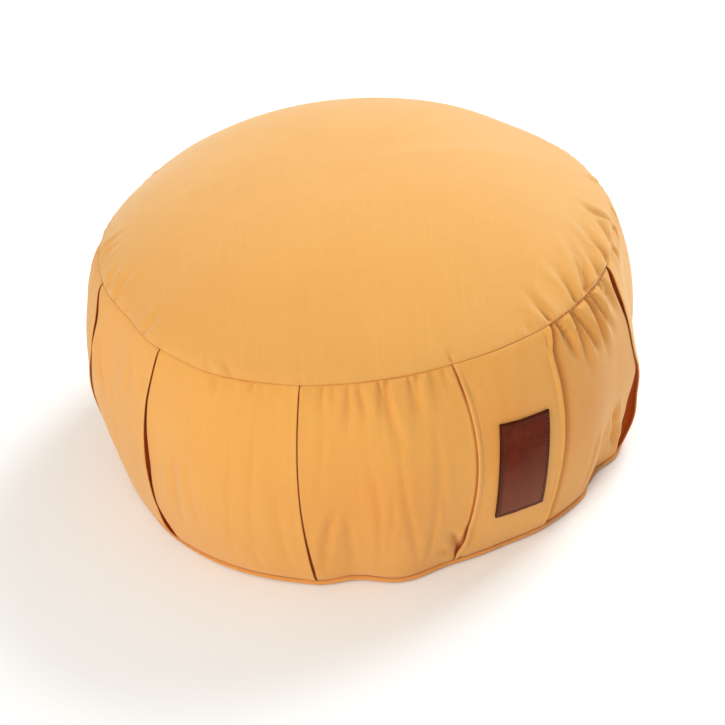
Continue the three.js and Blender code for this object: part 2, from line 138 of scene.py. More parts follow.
# Creases of the band. az0, t0 to az1, t1: where it runs, from azimuth and level to azimuth and level.
# width and depth in mm; fade "seam" dies away from its first end, and "free" at both.
CREASES = [dict(zip(("az0", "t0", "az1", "t1", "width", "depth", "fade"), row)) for row in (
    # gathers under the top seam, left of the front panel
    (258.6, 1.0, 259.0, 0.91, 1.5, 0.7, "seam"),
    (261.0, 1.0, 261.2, 0.84, 1.6, 0.9, "seam"),
    (263.2, 1.0, 263.4, 0.90, 1.4, 0.5, "seam"),
    (265.5, 1.0, 265.8, 0.76, 1.7, 1.1, "seam"),
    (268.4, 1.0, 269.2, 0.82, 1.6, 0.9, "seam"),
    (271.4, 1.0, 272.2, 0.72, 1.8, 1.3, "seam"),
    (274.0, 1.0, 275.4, 0.66, 1.9, 1.7, "seam"),
    (277.4, 1.0, 278.8, 0.74, 1.7, 1.1, "seam"),
    (279.6, 1.0, 280.9, 0.76, 1.6, 1.0, "seam"),
    (282.4, 1.0, 283.7, 0.82, 1.6, 0.9, "seam"),
    (284.6, 1.0, 286.2, 0.86, 1.6, 0.8, "seam"),
    # a few short ones above the left part of the band
    (238.6, 1.0, 238.6, 0.88, 1.5, 0.9, "seam"),
    (243.0, 1.0, 243.2, 0.94, 1.4, 0.4, "seam"),
    (246.6, 1.0, 247.2, 0.93, 1.5, 1.1, "seam"),
    (249.0, 1.0, 249.1, 0.92, 1.5, 0.8, "seam"),
    (252.6, 1.0, 252.9, 0.95, 1.4, 0.4, "seam"),
    # strong gathers right of the front panel
    (313.4, 1.0, 317.0, 0.66, 2.0, 1.6, "seam"),
    (316.6, 1.0, 321.0, 0.64, 2.2, 1.9, "seam"),
    (319.0, 1.0, 324.0, 0.66, 2.0, 1.9, "seam"),
    (322.0, 1.0, 327.4, 0.64, 2.2, 2.2, "seam"),
    (325.4, 1.0, 329.6, 0.70, 2.0, 1.8, "seam"),
    (328.4, 1.0, 331.0, 0.78, 1.8, 1.3, "seam"),
    (331.2, 1.0, 332.4, 0.76, 1.9, 1.6, "seam"),
    (343.5, 1.0, 343.0, 0.86, 2.0, 2.0, "seam"),
    (351.5, 1.0, 350.0, 0.80, 2.2, 2.2, "seam"),
    (359.0, 1.0, 358.0, 0.84, 2.0, 1.4, "seam"),
    # folds rising from the bottom seam between the middle pleat and the panel
    (257.4, 0.06, 262.0, 0.42, 2.6, 0.75, "free"),
    (262.6, 0.05, 264.6, 0.40, 2.2, 0.4, "free"),
    (267.6, 0.04, 268.8, 0.70, 2.0, 0.45, "free"),
    (271.6, 0.05, 272.4, 0.55, 1.8, 0.35, "free"),
    (275.6, 0.03, 276.4, 0.74, 1.9, 0.5, "free"),
    (279.0, 0.03, 280.2, 0.60, 1.8, 0.4, "free"),
    (281.8, 0.30, 283.4, 0.80, 1.8, 0.35, "free"),
    (283.6, 0.20, 286.4, 0.0, 2.2, 1.3, "free"),
    (281.4, 0.12, 285.4, 0.02, 1.9, 0.7, "free"),
    # soft drags on the other swells
    (226.5, 0.20, 229.5, 0.60, 3.6, 0.5, "free"),
    (233.0, 0.15, 234.0, 0.85, 2.2, 0.22, "free"),
    (240.6, 0.10, 241.4, 0.80, 2.0, 0.25, "free"),
    (246.4, 0.06, 246.6, 0.90, 2.0, 0.28, "free"),
    (251.6, 0.04, 251.2, 0.55, 2.6, 0.35, "free"),
    (244.0, 0.04, 243.4, 0.22, 3.0, 0.3, "free"),
    (259.4, 0.45, 260.2, 0.88, 1.8, 0.25, "free"),
    (197.0, 0.85, 201.5, 0.55, 3.6, 0.6, "free"),
    (203.0, 0.10, 204.5, 0.70, 2.6, 0.3, "free"),
    (213.5, 0.92, 212.5, 0.70, 3.4, 0.4, "free"),
    (318.0, 0.06, 321.5, 0.36, 3.2, 0.6, "free"),
    (324.4, 0.04, 326.4, 0.30, 2.8, 0.8, "free"),
    (330.6, 0.36, 334.8, 0.06, 3.0, 1.8, "free"),
    (302.0, 0.03, 302.5, 0.14, 2.6, 0.4, "free"),
)]

# Creases of the top panel: az0, s0 to az1, s1, where s is the part of the way from the middle to the seam.
TOP_CREASES = [dict(zip(("az0", "t0", "az1", "t1", "width", "depth", "fade"), row)) for row in (
    (287.8, 1.0, 287.2, 0.955, 1.2, 1.2, "seam"),
    (325.0, 1.0, 337.0, 0.84, 3.4, 2.0, "seam"),
    (320.2, 1.0, 323.0, 0.82, 3.0, 1.4, "seam"),
    (312.4, 1.0, 310.0, 0.85, 2.8, 1.3, "seam"),
    (330.6, 1.0, 341.0, 0.86, 3.0, 1.4, "seam"),
    (336.5, 1.0, 346.0, 0.84, 3.2, 1.7, "seam"),
    (344.5, 1.0, 355.0, 0.86, 3.0, 1.5, "seam"),
    (352.0, 1.0, 349.0, 0.82, 2.8, 1.2, "seam"),
    (9.0, 1.0, 7.0, 0.90, 2.6, 1.2, "seam"),
    (306.4, 1.0, 305.0, 0.93, 2.2, 0.6, "seam"),
    (200.6, 1.0, 197.4, 0.87, 2.6, 1.0, "seam"),
    (195.0, 1.0, 191.0, 0.90, 2.4, 0.8, "seam"),
    (207.0, 1.0, 206.0, 0.93, 2.2, 0.5, "seam"),
    (215.6, 1.0, 219.2, 0.90, 2.4, 1.0, "seam"),
    (222.6, 1.0, 223.6, 0.955, 1.6, 0.6, "seam"),
    (241.2, 0.985, 238.4, 0.925, 2.0, 0.8, "seam"),
    (236.6, 0.985, 234.6, 0.94, 1.8, 0.4, "seam"),
    (256.5, 1.0, 256.6, 0.965, 1.4, 0.5, "seam"),
)]

rng = np.random.default_rng(20)


def seeded_creases():
    """Gathers for the sides that face away: short ones under the seam and longer ones near the folds."""
    band, top = [], []
    for i, row in enumerate(SECTIONS):
        if row["kind"] != "pleat" or not (row["top"] < 180 or row["top"] > 345):
            continue
        ahead = SECTIONS[(i + 2) % len(SECTIONS)]
        span = (ahead["top"] - row["top"]) % 360
        for _ in range(int(rng.integers(5, 9))):
            az = row["top"] + span * rng.uniform(0.08, 0.92)
            band.append(dict(az0=az, t0=1.0, az1=az + rng.uniform(-1.5, 1.5), t1=rng.uniform(0.70, 0.90),
                             width=rng.uniform(1.4, 2.0), depth=rng.uniform(0.4, 1.1), fade="seam"))
        for _ in range(3):
            az = row["top"] + span * rng.uniform(0.15, 0.85)
            band.append(dict(az0=az, t0=0.03, az1=az + rng.uniform(-2, 2), t1=rng.uniform(0.4, 0.75),
                             width=rng.uniform(2.0, 3.0), depth=rng.uniform(0.2, 0.55), fade="free"))
        for _ in range(2):
            az = row["top"] + span * rng.uniform(0.0, 1.0)
            top.append(dict(az0=az, t0=1.0, az1=az + rng.uniform(-4, 4), t1=rng.uniform(0.85, 0.94),
                            width=rng.uniform(2.2, 3.2), depth=rng.uniform(0.4, 0.9), fade="seam"))
    return band, top


more_band, more_top = seeded_creases()
BAND_CREASES = CREASES + more_band
CROWN_CREASES = TOP_CREASES + more_top


# ---------------------------------------------------------------- the smooth shape
def ease(s):
    s = np.clip(s, 0.0, 1.0)
    return s * s * (3 - 2 * s)


def line_az(row, t):
    if row["top"] in LINES:
        return float(np.interp(t, LINE_FINE, LINE_SMOOTH[row["top"]]))
    return row["base"] * (1 - t) * (1 - 2 * t) + row["mid"] * 4 * t * (1 - t) + row["top"] * t * (2 * t - 1)


def soft_line(levels, values, at):
    """Values read off a table with rounded corners."""
    return sum(w * np.interp(np.clip(at + d, 0, 1), levels, values) for d, w in ((-0.03, 0.25), (0.0, 0.5), (0.03, 0.25)))


LINE_FINE = np.linspace(0, 1, 201)
LINE_SMOOTH = {k: soft_line(LINE_LEVELS, v, LINE_FINE) for k, v in LINES.items()}


def look(column, az, t):
    """A column of SECTIONS at azimuths az (an array) and one level t."""
    lines = np.array([line_az(r, t) for r in SECTIONS])
    values = np.array([r[column] for r in SECTIONS], float)
    lines, values = np.append(lines, lines[0] + 360), np.append(values, values[0])
    x = (np.asarray(az, float) - lines[0]) % 360 + lines[0]
    i = np.clip(np.searchsorted(lines, x, side="right") - 1, 0, len(lines) - 2)
    s = (x - lines[i]) / (lines[i + 1] - lines[i])
    return values[i] + (values[i + 1] - values[i]) * ease(s)


def band_radius(az, t):
    straight = look("foot", az, t) * (1 - t) + look("seam", az, t) * t
    swell = max(0.0, math.sin(math.pi * t ** BULGE_LEAN)) ** BULGE_ROUND
    sag = SAG["out"] * np.exp(-(((np.asarray(az) - SAG["az"] + 180) % 360 - 180) / SAG["wide"]) ** 2 - ((t - SAG["t"]) / SAG["tall"]) ** 2)
    return straight + look("belly", az, t) * swell + sag * min(1.0, t / 0.03)


def lift(az):
    return look("lift", az, 0.0)


def height_at(az, t):
    low = lift(az)
    return low + (TOP_Z - low) * t


def polar(az, r, z):
    a = np.radians(az)
    return np.stack([r * np.cos(a), r * np.sin(a), np.broadcast_to(z, np.shape(a)).astype(float)], -1) - CENTRE


def band_point(az, t):
    """Points of the smooth band and its outward normals."""
    e, h = 0.35, 0.004
    t0, t1 = max(0.0, t - h), min(1.0, t + h)
    r = band_radius(az, t)
    ra = (band_radius(az + e, t) - band_radius(az - e, t)) / (2 * math.radians(e))
    rt = (band_radius(az, t1) - band_radius(az, t0)) / ((t1 - t0) * BAND_HEIGHT)
    rt = np.clip(rt, -1.4, 1.4)
    a = np.radians(az)
    n = np.stack([ra * np.sin(a) + r * np.cos(a), -(ra * np.cos(a) - r * np.sin(a)), -r * rt], -1)
    n /= np.linalg.norm(n, axis=-1, keepdims=True)
    return polar(az, r, height_at(az, t)), n


def crown_rise(s, az):
    s = np.clip(s, 0, 1)
    return CROWN_HEIGHT * (1 - s ** CROWN_ROUND) ** CROWN_SHOULDER * (1 + look("crown", az, 1.0) * 4 * s * s * (1 - s * s))


def crown_point(az, s):
    R = look("seam", az, 1.0)
    e = 0.006
    a, b = min(1.0, s + e), max(0.0, s - e)
    run, fall = R * (a - b), crown_rise(b, az) - crown_rise(a, az)
    length = np.hypot(run, fall)
    ang = np.radians(az)
    n = np.stack([fall / length * np.cos(ang), fall / length * np.sin(ang), run / length], -1)
    return polar(az, R * s, TOP_Z + crown_rise(s, az)), n


def crease_field(rows, az, t, per_t, least=0.0, per_deg=math.pi * AROUND / 180):
    """Depth of all creases at points az, t, as a height in mm. per_t is mm for each unit of t, and least is the
    narrowest crease that the points can carry."""
    out = np.zeros(np.broadcast(az, t).shape)
    for c in rows:
        x = ((az - c["az0"] + 180) % 360 - 180) * per_deg
        y = (t - c["t0"]) * per_t
        dx, dy = ((c["az1"] - c["az0"] + 180) % 360 - 180) * per_deg, (c["t1"] - c["t0"]) * per_t
        length = math.hypot(dx, dy)
        along = (x * dx + y * dy) / length
        across = (x * dy - y * dx) / length
        q = along / length
        across = across + 0.05 * length * np.sin(np.clip(q, 0, 1) * 2.6 + c["az0"])  # creases are never straight
        if c["fade"] == "seam":
            share = (1 - ease(q)) * (q > -0.4)
            wide = np.maximum(least, c["width"] * (0.55 + 1.5 * np.clip(q, 0, 1)))
        else:
            share = ease((q + 0.12) / 0.45) * ease((1.12 - q) / 0.45)
            wide = max(least, c["width"])
        d = across / wide
        out += share * c["depth"] * (0.55 * np.exp(-((np.abs(d) - 1.9) / 1.1) ** 2) - (1 + d * d) ** -1.6)
    return out


# ---------------------------------------------------------------- columns and rows of the grids
FOLD_ROWS = [r for r in SECTIONS if r["kind"] != "swell"]
SIM_STEP, FINE_STEP = 3.8, 2.0


def fold_lines(t):
    """Azimuths of the twelve fold lines at level t, then the first again a turn later."""
    lines = [line_az(r, t) for r in FOLD_ROWS]
    return np.array(lines + [lines[0] + 360])


SPANS = [int(round((fold_lines(0.5)[k + 1] - fold_lines(0.5)[k]) * math.pi * AROUND / 180 / SIM_STEP)) for k in range(12)]
STARTS = np.concatenate([[0], np.cumsum(SPANS)])


def sim_azimuths(t):
    f = fold_lines(t)
    return np.concatenate([f[k] + (f[k + 1] - f[k]) * np.arange(SPANS[k]) / SPANS[k] for k in range(12)])


def sim_column(az, t):
    """Column of the simulated grid, with its fraction, that an azimuth falls on at level t."""
    f = fold_lines(t)
    x = (az - f[0]) % 360 + f[0]
    k = np.clip(np.searchsorted(f, x, side="right") - 1, 0, 11)
    return STARTS[k] + (x - f[k]) / (f[k + 1] - f[k]) * np.array(SPANS)[k]


def levels(step, edge, near):
    """Levels from 0 to 1, closer together near both seams."""
    out, d = [0.0], 0.0
    while d < BAND_HEIGHT / 2:
        d += edge + (step - edge) * min(1.0, d / near)
        out.append(d / BAND_HEIGHT)
    half = np.array(out) / out[-1] * 0.5
    return np.concatenate([half, 1 - half[-2::-1]])


def rings(step, edge, near, radius=166.0):
    """Parts of the radius from 1 at the seam to near 0."""
    out, d = [0.0], 0.0
    while d < radius:
        d += edge + (step - edge) * min(1.0, d / near)
        out.append(d)
    s = 1 - np.array(out) / out[-1]
    return s[:-1]


SIM_LEVELS = levels(3.8, 2.2, 16)
SIM_RINGS = rings(7.0, 2.4, 60)


def catmull(grid, rows, cols, wrap):
    """grid[rows, cols] at fractional places, with a smooth curve both ways."""
    n, m = grid.shape[:2]
    i, j = np.floor(rows).astype(int), np.floor(cols).astype(int)
    u, v = rows - i, cols - j

    def weights(x):
        return [(-x + 2 * x * x - x ** 3) / 2, (2 - 5 * x * x + 3 * x ** 3) / 2,
                (x + 4 * x * x - 3 * x ** 3) / 2, (-x * x + x ** 3) / 2]
    wu, wv = weights(u), weights(v)
    out = 0.0
    for a in range(4):
        ia = np.clip(i + a - 1, 0, n - 1)
        for b in range(4):
            jb = j + b - 1
            jb = jb % m if wrap else np.clip(jb, 0, m - 1)
            out = out + (wu[a] * wv[b])[..., None] * grid[ia, jb]
    return out


# ---------------------------------------------------------------- the cloth simulation
def start_shape():
    """Smooth points and normals of the cover's grid: rings of the crown from the middle out, then levels of the
    band from the top seam down. Also the height of the cloth that is gathered in, which the pressure shapes."""
    points, normals, extra, hold = [], [], [], []
    for s in SIM_RINGS[::-1]:
        az = sim_azimuths(1.0)
        if s >= 0.9999:
            continue
        p, n = crown_point(az, s)
        points.append(p), normals.append(n)
        extra.append(crease_field(CROWN_CREASES, az, np.full_like(az, s), 166.0, 3.0))
        hold.append(np.zeros(len(az)))
    for t in SIM_LEVELS[::-1]:
        az = sim_azimuths(t)
        p, n = band_point(az, t)
        points.append(p), normals.append(n)
        field = crease_field(BAND_CREASES, az, np.full_like(az, t), BAND_HEIGHT, 2.8)
        extra.append(field * min(1.0, (1 - t) * BAND_HEIGHT / 2.5, 1.0))
        h = np.zeros(len(az))
        h[STARTS[:-1]] = 0.85
        if t in (0.0, 1.0):
            h[:] = 1.0
        hold.append(h)
    return np.array(points), np.array(normals), np.array(extra), np.array(hold)


def inflate(points, normals, extra, hold):
    """Runs Blender's cloth with pressure on the cover and returns how each point moved from the smooth shape."""
    rows, cols = points.shape[:2]
    start = points + normals * (extra * 1.25 - 0.6 * (1 - hold))[..., None]
    mesh = bpy.data.meshes.new("cover_cloth")
    index = np.arange(rows * cols).reshape(rows, cols)
    nxt = np.roll(index, -1, 1)
    quads = np.stack([index[:-1], index[1:], nxt[1:], nxt[:-1]], -1).reshape(-1, 4)
    middle = len(start.reshape(-1, 3))
    flat = np.vstack([start.reshape(-1, 3), start[0].mean(0)]) / 1000
    faces = quads.tolist() + [[middle, int(index[0, j]), int(nxt[0, j])] for j in range(cols)]
    mesh.from_pydata(flat.tolist(), [], faces)
    mesh.update()
    cloth = bpy.data.objects.new("cover_cloth", mesh)
    bpy.context.scene.collection.objects.link(cloth)
    group = cloth.vertex_groups.new(name="hold")
    weights = np.append(hold.reshape(-1), 0.0)
    for value in np.unique(weights[weights > 0]):
        group.add(np.nonzero(weights == value)[0].tolist(), float(value), "REPLACE")
    m = cloth.modifiers.new("pressure", "CLOTH")
    s = m.settings
    s.quality, s.mass, s.air_damping = 6, 0.25, 3.0
    s.bending_model = "ANGULAR"
    s.tension_stiffness = s.compression_stiffness = 22.0
    s.shear_stiffness = 8.0
    s.bending_stiffness = 0.35
    s.tension_damping = s.compression_damping = s.shear_damping = 8.0
    s.use_pressure, s.uniform_pressure_force = True, 4.0
    s.vertex_group_mass, s.pin_stiffness = "hold", 1.0
    s.effector_weights.gravity = 0.0
    m.collision_settings.use_collision = False
    m.collision_settings.use_self_collision = False
    scene = bpy.context.scene
    scene.frame_start, scene.frame_end = 1, 20
    m.point_cache.frame_start, m.point_cache.frame_end = 1, 20
    for f in range(1, 21):
        scene.frame_set(f)
    bpy.context.view_layer.objects.active = cloth
    evaluated = cloth.evaluated_get(bpy.context.evaluated_depsgraph_get())
    done = bpy.data.meshes.new_from_object(evaluated)
    co = np.empty(len(done.vertices) * 3)
    done.vertices.foreach_get("co", co)
    co = co.reshape(-1, 3)[:-1].reshape(rows, cols, 3) * 1000
    bpy.data.objects.remove(cloth)
    bpy.data.meshes.remove(done)
    scene.frame_set(1)
    moved = co - points
    size = np.linalg.norm(moved, axis=-1, keepdims=True)
    return moved * np.minimum(1.0, 9.0 / np.maximum(size, 1e-9)), size


points, normals, extra, hold = start_shape()
MOVED, size = inflate(points, normals, extra, hold)
print("cloth moved mm: mean %.2f, 95%% %.2f, most %.2f" % (size.mean(), np.percentile(size, 95), size.max()))
CROWN_ROWS = len(points) - len(SIM_LEVELS)


def moved_on_band(az, t):
    row = CROWN_ROWS + np.interp(1 - t, 1 - SIM_LEVELS[::-1], np.arange(len(SIM_LEVELS)))
    cols = sim_column(az, t)
    return catmull(MOVED, np.full(len(cols), row), cols, True)


def moved_on_crown(az, s):
    levels_in = np.append(SIM_RINGS[::-1][:-1], 1.0) if SIM_RINGS[0] >= 0.9999 else SIM_RINGS[::-1]
    row = np.interp(s, levels_in, np.arange(len(levels_in)))
    cols = sim_column(az, 1.0)
    out = catmull(MOVED[: CROWN_ROWS + 1], np.full(len(cols), row), cols, True)
    return out * min(1.0, s / 0.12)


# ---------------------------------------------------------------- mesh helper
class Build:
    """Collects grids of points and the quads between them, with a cloth map in metres, then makes one object."""

    def __init__(self):
        self.points, self.faces, self.maps, self.marks, self.shades, self.count = [], [], [], [], [], 0

    def add(self, grid, edge=0.0, shade=0.0):
        grid = np.asarray(grid, float)
        index = self.count + np.arange(grid.shape[0] * grid.shape[1]).reshape(grid.shape[:2])
        self.points.append(grid.reshape(-1, 3))
        self.marks.append(np.broadcast_to(edge, grid.shape[:2]).reshape(-1).astype(float))
        self.shades.append(np.broadcast_to(shade, grid.shape[:2]).reshape(-1).astype(float))
        self.count += index.size
        return index

    def quads(self, index, u, v, wrap=False, flip=False):
        """index[rows, cols]; u and v have the same shape, or one more column where the grid goes all round."""
        if wrap:
            index = np.concatenate([index, index[:, :1]], 1)
        a, b, c, d = index[:-1, :-1], index[:-1, 1:], index[1:, 1:], index[1:, :-1]
        uv = np.stack(np.broadcast_arrays(u, v), -1)
        ua, ub, uc, ud = uv[:-1, :-1], uv[:-1, 1:], uv[1:, 1:], uv[1:, :-1]
        order = (0, 3, 2, 1) if flip else (0, 1, 2, 3)
        quad = np.stack([a, b, c, d], -1)[..., order]
        maps = np.stack([ua, ub, uc, ud], -2)[..., order, :]
        self.faces.append(quad.reshape(-1, 4))
        self.maps.append(maps.reshape(-1, 2))

    def make(self, name, material):
        points = np.concatenate(self.points) / 1000
        faces = np.concatenate(self.faces)
        mesh = bpy.data.meshes.new(name)
        mesh.vertices.add(len(points))
        mesh.vertices.foreach_set("co", points.astype(np.float32).ravel())
        mesh.loops.add(faces.size)
        mesh.loops.foreach_set("vertex_index", faces.astype(np.int32).ravel())
        mesh.polygons.add(len(faces))
        mesh.polygons.foreach_set("loop_start", np.arange(0, faces.size, 4, dtype=np.int32))
        mesh.polygons.foreach_set("loop_total", np.full(len(faces), 4, np.int32))
        layer = mesh.uv_layers.new(name="Cloth")
        layer.data.foreach_set("uv", (np.concatenate(self.maps) / 1000).astype(np.float32).ravel())
        # edge_wear carries paler worn cloth; the second attribute carries painted shade
        for title, values in (("edge_wear", self.marks), ("painted_shade", self.shades)):
            mark = mesh.attributes.new(title, "FLOAT", "POINT")
            mark.data.foreach_set("value", np.concatenate(values).astype(np.float32))
        mesh.update(calc_edges=True)
        mesh.validate()
        mesh.polygons.foreach_set("use_smooth", np.ones(len(mesh.polygons), bool))
        mesh.materials.append(material)
        piece = bpy.data.objects.new(name, mesh)
        bpy.context.scene.collection.objects.link(piece)
        return piece


# ---------------------------------------------------------------- materials
def node(nt, kind, inputs=None, **props):
    n = nt.nodes.new(kind)
    for k, v in props.items():
        setattr(n, k, v)
    for k, v in (inputs or {}).items():
        n.inputs[k].default_value = v
    return n


def maths(nt, op, a, b=None, c=None, clamp=False):
    n = nt.nodes.new("ShaderNodeMath")
    n.operation, n.use_clamp = op, clamp
    for i, x in enumerate((a, b, c)):
        if x is None:
            continue
        if isinstance(x, (int, float)):
            n.inputs[i].default_value = x
        else:
            nt.links.new(x, n.inputs[i])
    return n.outputs[0]


def noise(nt, vector, scale, detail=3.0, rough=0.55, stretch=None):
    if stretch is not None:
        m = node(nt, "ShaderNodeMapping")
        m.inputs["Scale"].default_value = stretch
        nt.links.new(vector, m.inputs["Vector"])
        vector = m.outputs[0]
    n = node(nt, "ShaderNodeTexNoise", {"Scale": scale, "Detail": detail, "Roughness": rough})
    nt.links.new(vector, n.inputs["Vector"])
    return n.outputs["Fac"]


def spread(nt, value, low, high, to_low=0.0, to_high=1.0):
    n = node(nt, "ShaderNodeMapRange", {"From Min": low, "From Max": high, "To Min": to_low, "To Max": to_high})
    nt.links.new(value, n.inputs["Value"])
    return n.outputs[0]


def tint(nt, colour, factor, toward):
    n = node(nt, "ShaderNodeMix", data_type="RGBA", blend_type="MIX")
    nt.links.new(factor, n.inputs["Factor"])
    if isinstance(colour, tuple):
        n.inputs[6].default_value = colour
    else:
        nt.links.new(colour, n.inputs[6])
    n.inputs[7].default_value = toward
    return n.outputs[2]


def cotton(name, base, seed, painted_sheen=0.0):
    """Plain woven cotton: threads both ways, slubs, a soft mottle, lint, paler worn fold edges, painted shade in folds,
    creases and seams, and, when asked, a painted highlight towards the back right.
    """
    mat = bpy.data.materials.new(name)
    mat.use_nodes = True
    nt = mat.node_tree
    shader = nt.nodes["Principled BSDF"]
    cloth = node(nt, "ShaderNodeUVMap", uv_map="Cloth")
    place = node(nt, "ShaderNodeTexCoord").outputs["Object"]
    uv = cloth.outputs[0]
    shift = node(nt, "ShaderNodeMapping")
    shift.inputs["Location"].default_value = (seed * 0.37, seed * 0.19, 0)
    nt.links.new(uv, shift.inputs["Vector"])
    uv = shift.outputs[0]

    # the weave: threads 0.5 mm apart, each wandering a little
    wander = noise(nt, uv, 900.0, 2.0)
    parts = node(nt, "ShaderNodeSeparateXYZ")
    nt.links.new(uv, parts.inputs[0])
    pitch = 2 * math.pi / 0.00052
    off = maths(nt, "MULTIPLY", wander, 1.6)
    warp = maths(nt, "SINE", maths(nt, "ADD", maths(nt, "MULTIPLY", parts.outputs[0], pitch), off))
    weft = maths(nt, "SINE", maths(nt, "ADD", maths(nt, "MULTIPLY", parts.outputs[1], pitch), off))
    weave = maths(nt, "MULTIPLY", warp, weft)
    # thick and thin threads, along each direction
    slub_u = noise(nt, uv, 1.0, 3.0, 0.6, (60.0, 1500.0, 1.0))
    slub_v = noise(nt, uv, 1.0, 3.0, 0.6, (1500.0, 60.0, 1.0))
    slubs = maths(nt, "ADD", slub_u, slub_v)
    streak = noise(nt, uv, 1.0, 2.0, 0.5, (420.0, 14.0, 1.0))
    mottle = noise(nt, place, 22.0, 3.0, 0.55)
    cloud = noise(nt, place, 7.0, 2.0, 0.5)

    # colour
    deep = tuple(c * k for c, k in zip(base, (0.90, 0.83, 0.74))) + (1.0,)
    pale = tuple(min(1.0, c * k) for c, k in zip(base, (1.05, 1.12, 1.28))) + (1.0,)
    colour = tint(nt, base + (1.0,), spread(nt, slubs, 0.80, 1.3, 0.0, 0.20), deep)
    colour = tint(nt, colour, spread(nt, streak, 0.40, 0.72, 0.0, 0.22), pale)
    colour = tint(nt, colour, spread(nt, mottle, 0.42, 0.70, 0.0, 0.18), deep)
    colour = tint(nt, colour, spread(nt, cloud, 0.40, 0.66, 0.0, 0.16), pale)
    lint = noise(nt, place, 1400.0, 1.0, 0.4)
    colour = tint(nt, colour, spread(nt, lint, 0.74, 0.82, 0.0, 0.35), pale)
    if painted_sheen:   # painted highlight: the crown is paler towards its back right, as the key light's sheen would make it
        side = node(nt, "ShaderNodeSeparateXYZ")
        nt.links.new(place, side.inputs[0])
        far = maths(nt, "ADD", maths(nt, "MULTIPLY", side.outputs[0], 0.72), maths(nt, "MULTIPLY", side.outputs[1], 0.69))
        sheen_colour = tuple(min(1.0, c * k) for c, k in zip(base, (1.01, 1.14, 1.75))) + (1.0,)
        colour = tint(nt, colour, spread(nt, far, 0.0, 0.17, 0.0, painted_sheen), sheen_colour)
    wear = node(nt, "ShaderNodeAttribute", attribute_name="edge_wear")
    worn = maths(nt, "MULTIPLY", wear.outputs["Fac"], spread(nt, noise(nt, uv, 260.0, 3.0), 0.35, 0.7, 0.15, 0.55))
    colour = tint(nt, colour, worn, pale)
    # painted shade: the colour darkens towards a deep burnt orange where the mesh's shade attribute is set, in folds,
    # pleat openings, creases and seam lines
    shade_input = node(nt, "ShaderNodeAttribute", attribute_name="painted_shade")
    shade_colour = tuple(c * k for c, k in zip(base, (0.80, 0.36, 0.14))) + (1.0,)
    colour = tint(nt, colour, maths(nt, "MULTIPLY", shade_input.outputs["Fac"], 0.9), shade_colour)
    nt.links.new(colour, shader.inputs["Base Color"])

    # gloss
    rough = spread(nt, slubs, 0.7, 1.3, 0.80, 0.90)
    nt.links.new(rough, shader.inputs["Roughness"])
    shader.inputs["Specular IOR Level"].default_value = 0.22
    shader.inputs["Sheen Weight"].default_value = 0.45
    shader.inputs["Sheen Roughness"].default_value = 0.45
    shader.inputs["Sheen Tint"].default_value = (1.0, 0.88, 0.70, 1.0)

    # surface
    bump_weave = node(nt, "ShaderNodeBump", {"Strength": 0.35, "Distance": 0.00012})
    nt.links.new(weave, bump_weave.inputs["Height"])
    bump_slub = node(nt, "ShaderNodeBump", {"Strength": 0.32, "Distance": 0.00025})
    nt.links.new(slubs, bump_slub.inputs["Height"])
    nt.links.new(bump_weave.outputs[0], bump_slub.inputs["Normal"])
    rumple = noise(nt, place, 90.0, 3.0, 0.5)
    bump_rumple = node(nt, "ShaderNodeBump", {"Strength": 0.35, "Distance": 0.0012})
    nt.links.new(rumple, bump_rumple.inputs["Height"])
    nt.links.new(bump_slub.outputs[0], bump_rumple.inputs["Normal"])
    nt.links.new(bump_rumple.outputs[0], shader.inputs["Normal"])
    return mat


def leather_material():
    """Dark brown leather: pores and fine grain, a waxy gloss, a painted reflection that makes its lower part lighter,
    and darker, burnished edges.
    """
    mat = bpy.data.materials.new("label_leather")
    mat.use_nodes = True
    nt = mat.node_tree
    shader = nt.nodes["Principled BSDF"]
    place = node(nt, "ShaderNodeTexCoord").outputs["Object"]
    base, dark, light = (0.122, 0.014, 0.0035, 1.0), (0.045, 0.007, 0.003, 1.0), (0.165, 0.034, 0.013, 1.0)
    mottle = noise(nt, place, 60.0, 4.0, 0.6)
    colour = tint(nt, base, spread(nt, mottle, 0.40, 0.68, 0.0, 0.45), light)
    blotch = noise(nt, place, 190.0, 3.0, 0.6)
    colour = tint(nt, colour, spread(nt, blotch, 0.45, 0.72, 0.0, 0.40), dark)
    # painted reflection: the label's colour turns lighter and redder towards its bottom
    glare_height = node(nt, "ShaderNodeSeparateXYZ")
    nt.links.new(place, glare_height.inputs[0])
    colour = tint(nt, colour, spread(nt, glare_height.outputs[2], 0.080, 0.032, 0.0, 0.60), (0.25, 0.095, 0.058, 1.0))
    wear = node(nt, "ShaderNodeAttribute", attribute_name="edge_wear")
    colour = tint(nt, colour, maths(nt, "MULTIPLY", wear.outputs["Fac"], 0.85), dark)
    nt.links.new(colour, shader.inputs["Base Color"])
    grain = node(nt, "ShaderNodeTexVoronoi", {"Scale": 1900.0}, feature="DISTANCE_TO_EDGE")
    nt.links.new(place, grain.inputs["Vector"])
    pores = noise(nt, place, 1100.0, 3.0, 0.6)
    nt.links.new(spread(nt, pores, 0.3, 0.7, 0.34, 0.48), shader.inputs["Roughness"])
    shader.inputs["Specular IOR Level"].default_value = 0.04
    b1 = node(nt, "ShaderNodeBump", {"Strength": 0.35, "Distance": 0.00012})
    nt.links.new(grain.outputs["Distance"], b1.inputs["Height"])
    b2 = node(nt, "ShaderNodeBump", {"Strength": 0.3, "Distance": 0.0004})
    nt.links.new(noise(nt, place, 320.0, 4.0, 0.6), b2.inputs["Height"])
    nt.links.new(b1.outputs[0], b2.inputs["Normal"])
    nt.links.new(b2.outputs[0], shader.inputs["Normal"])
    return mat


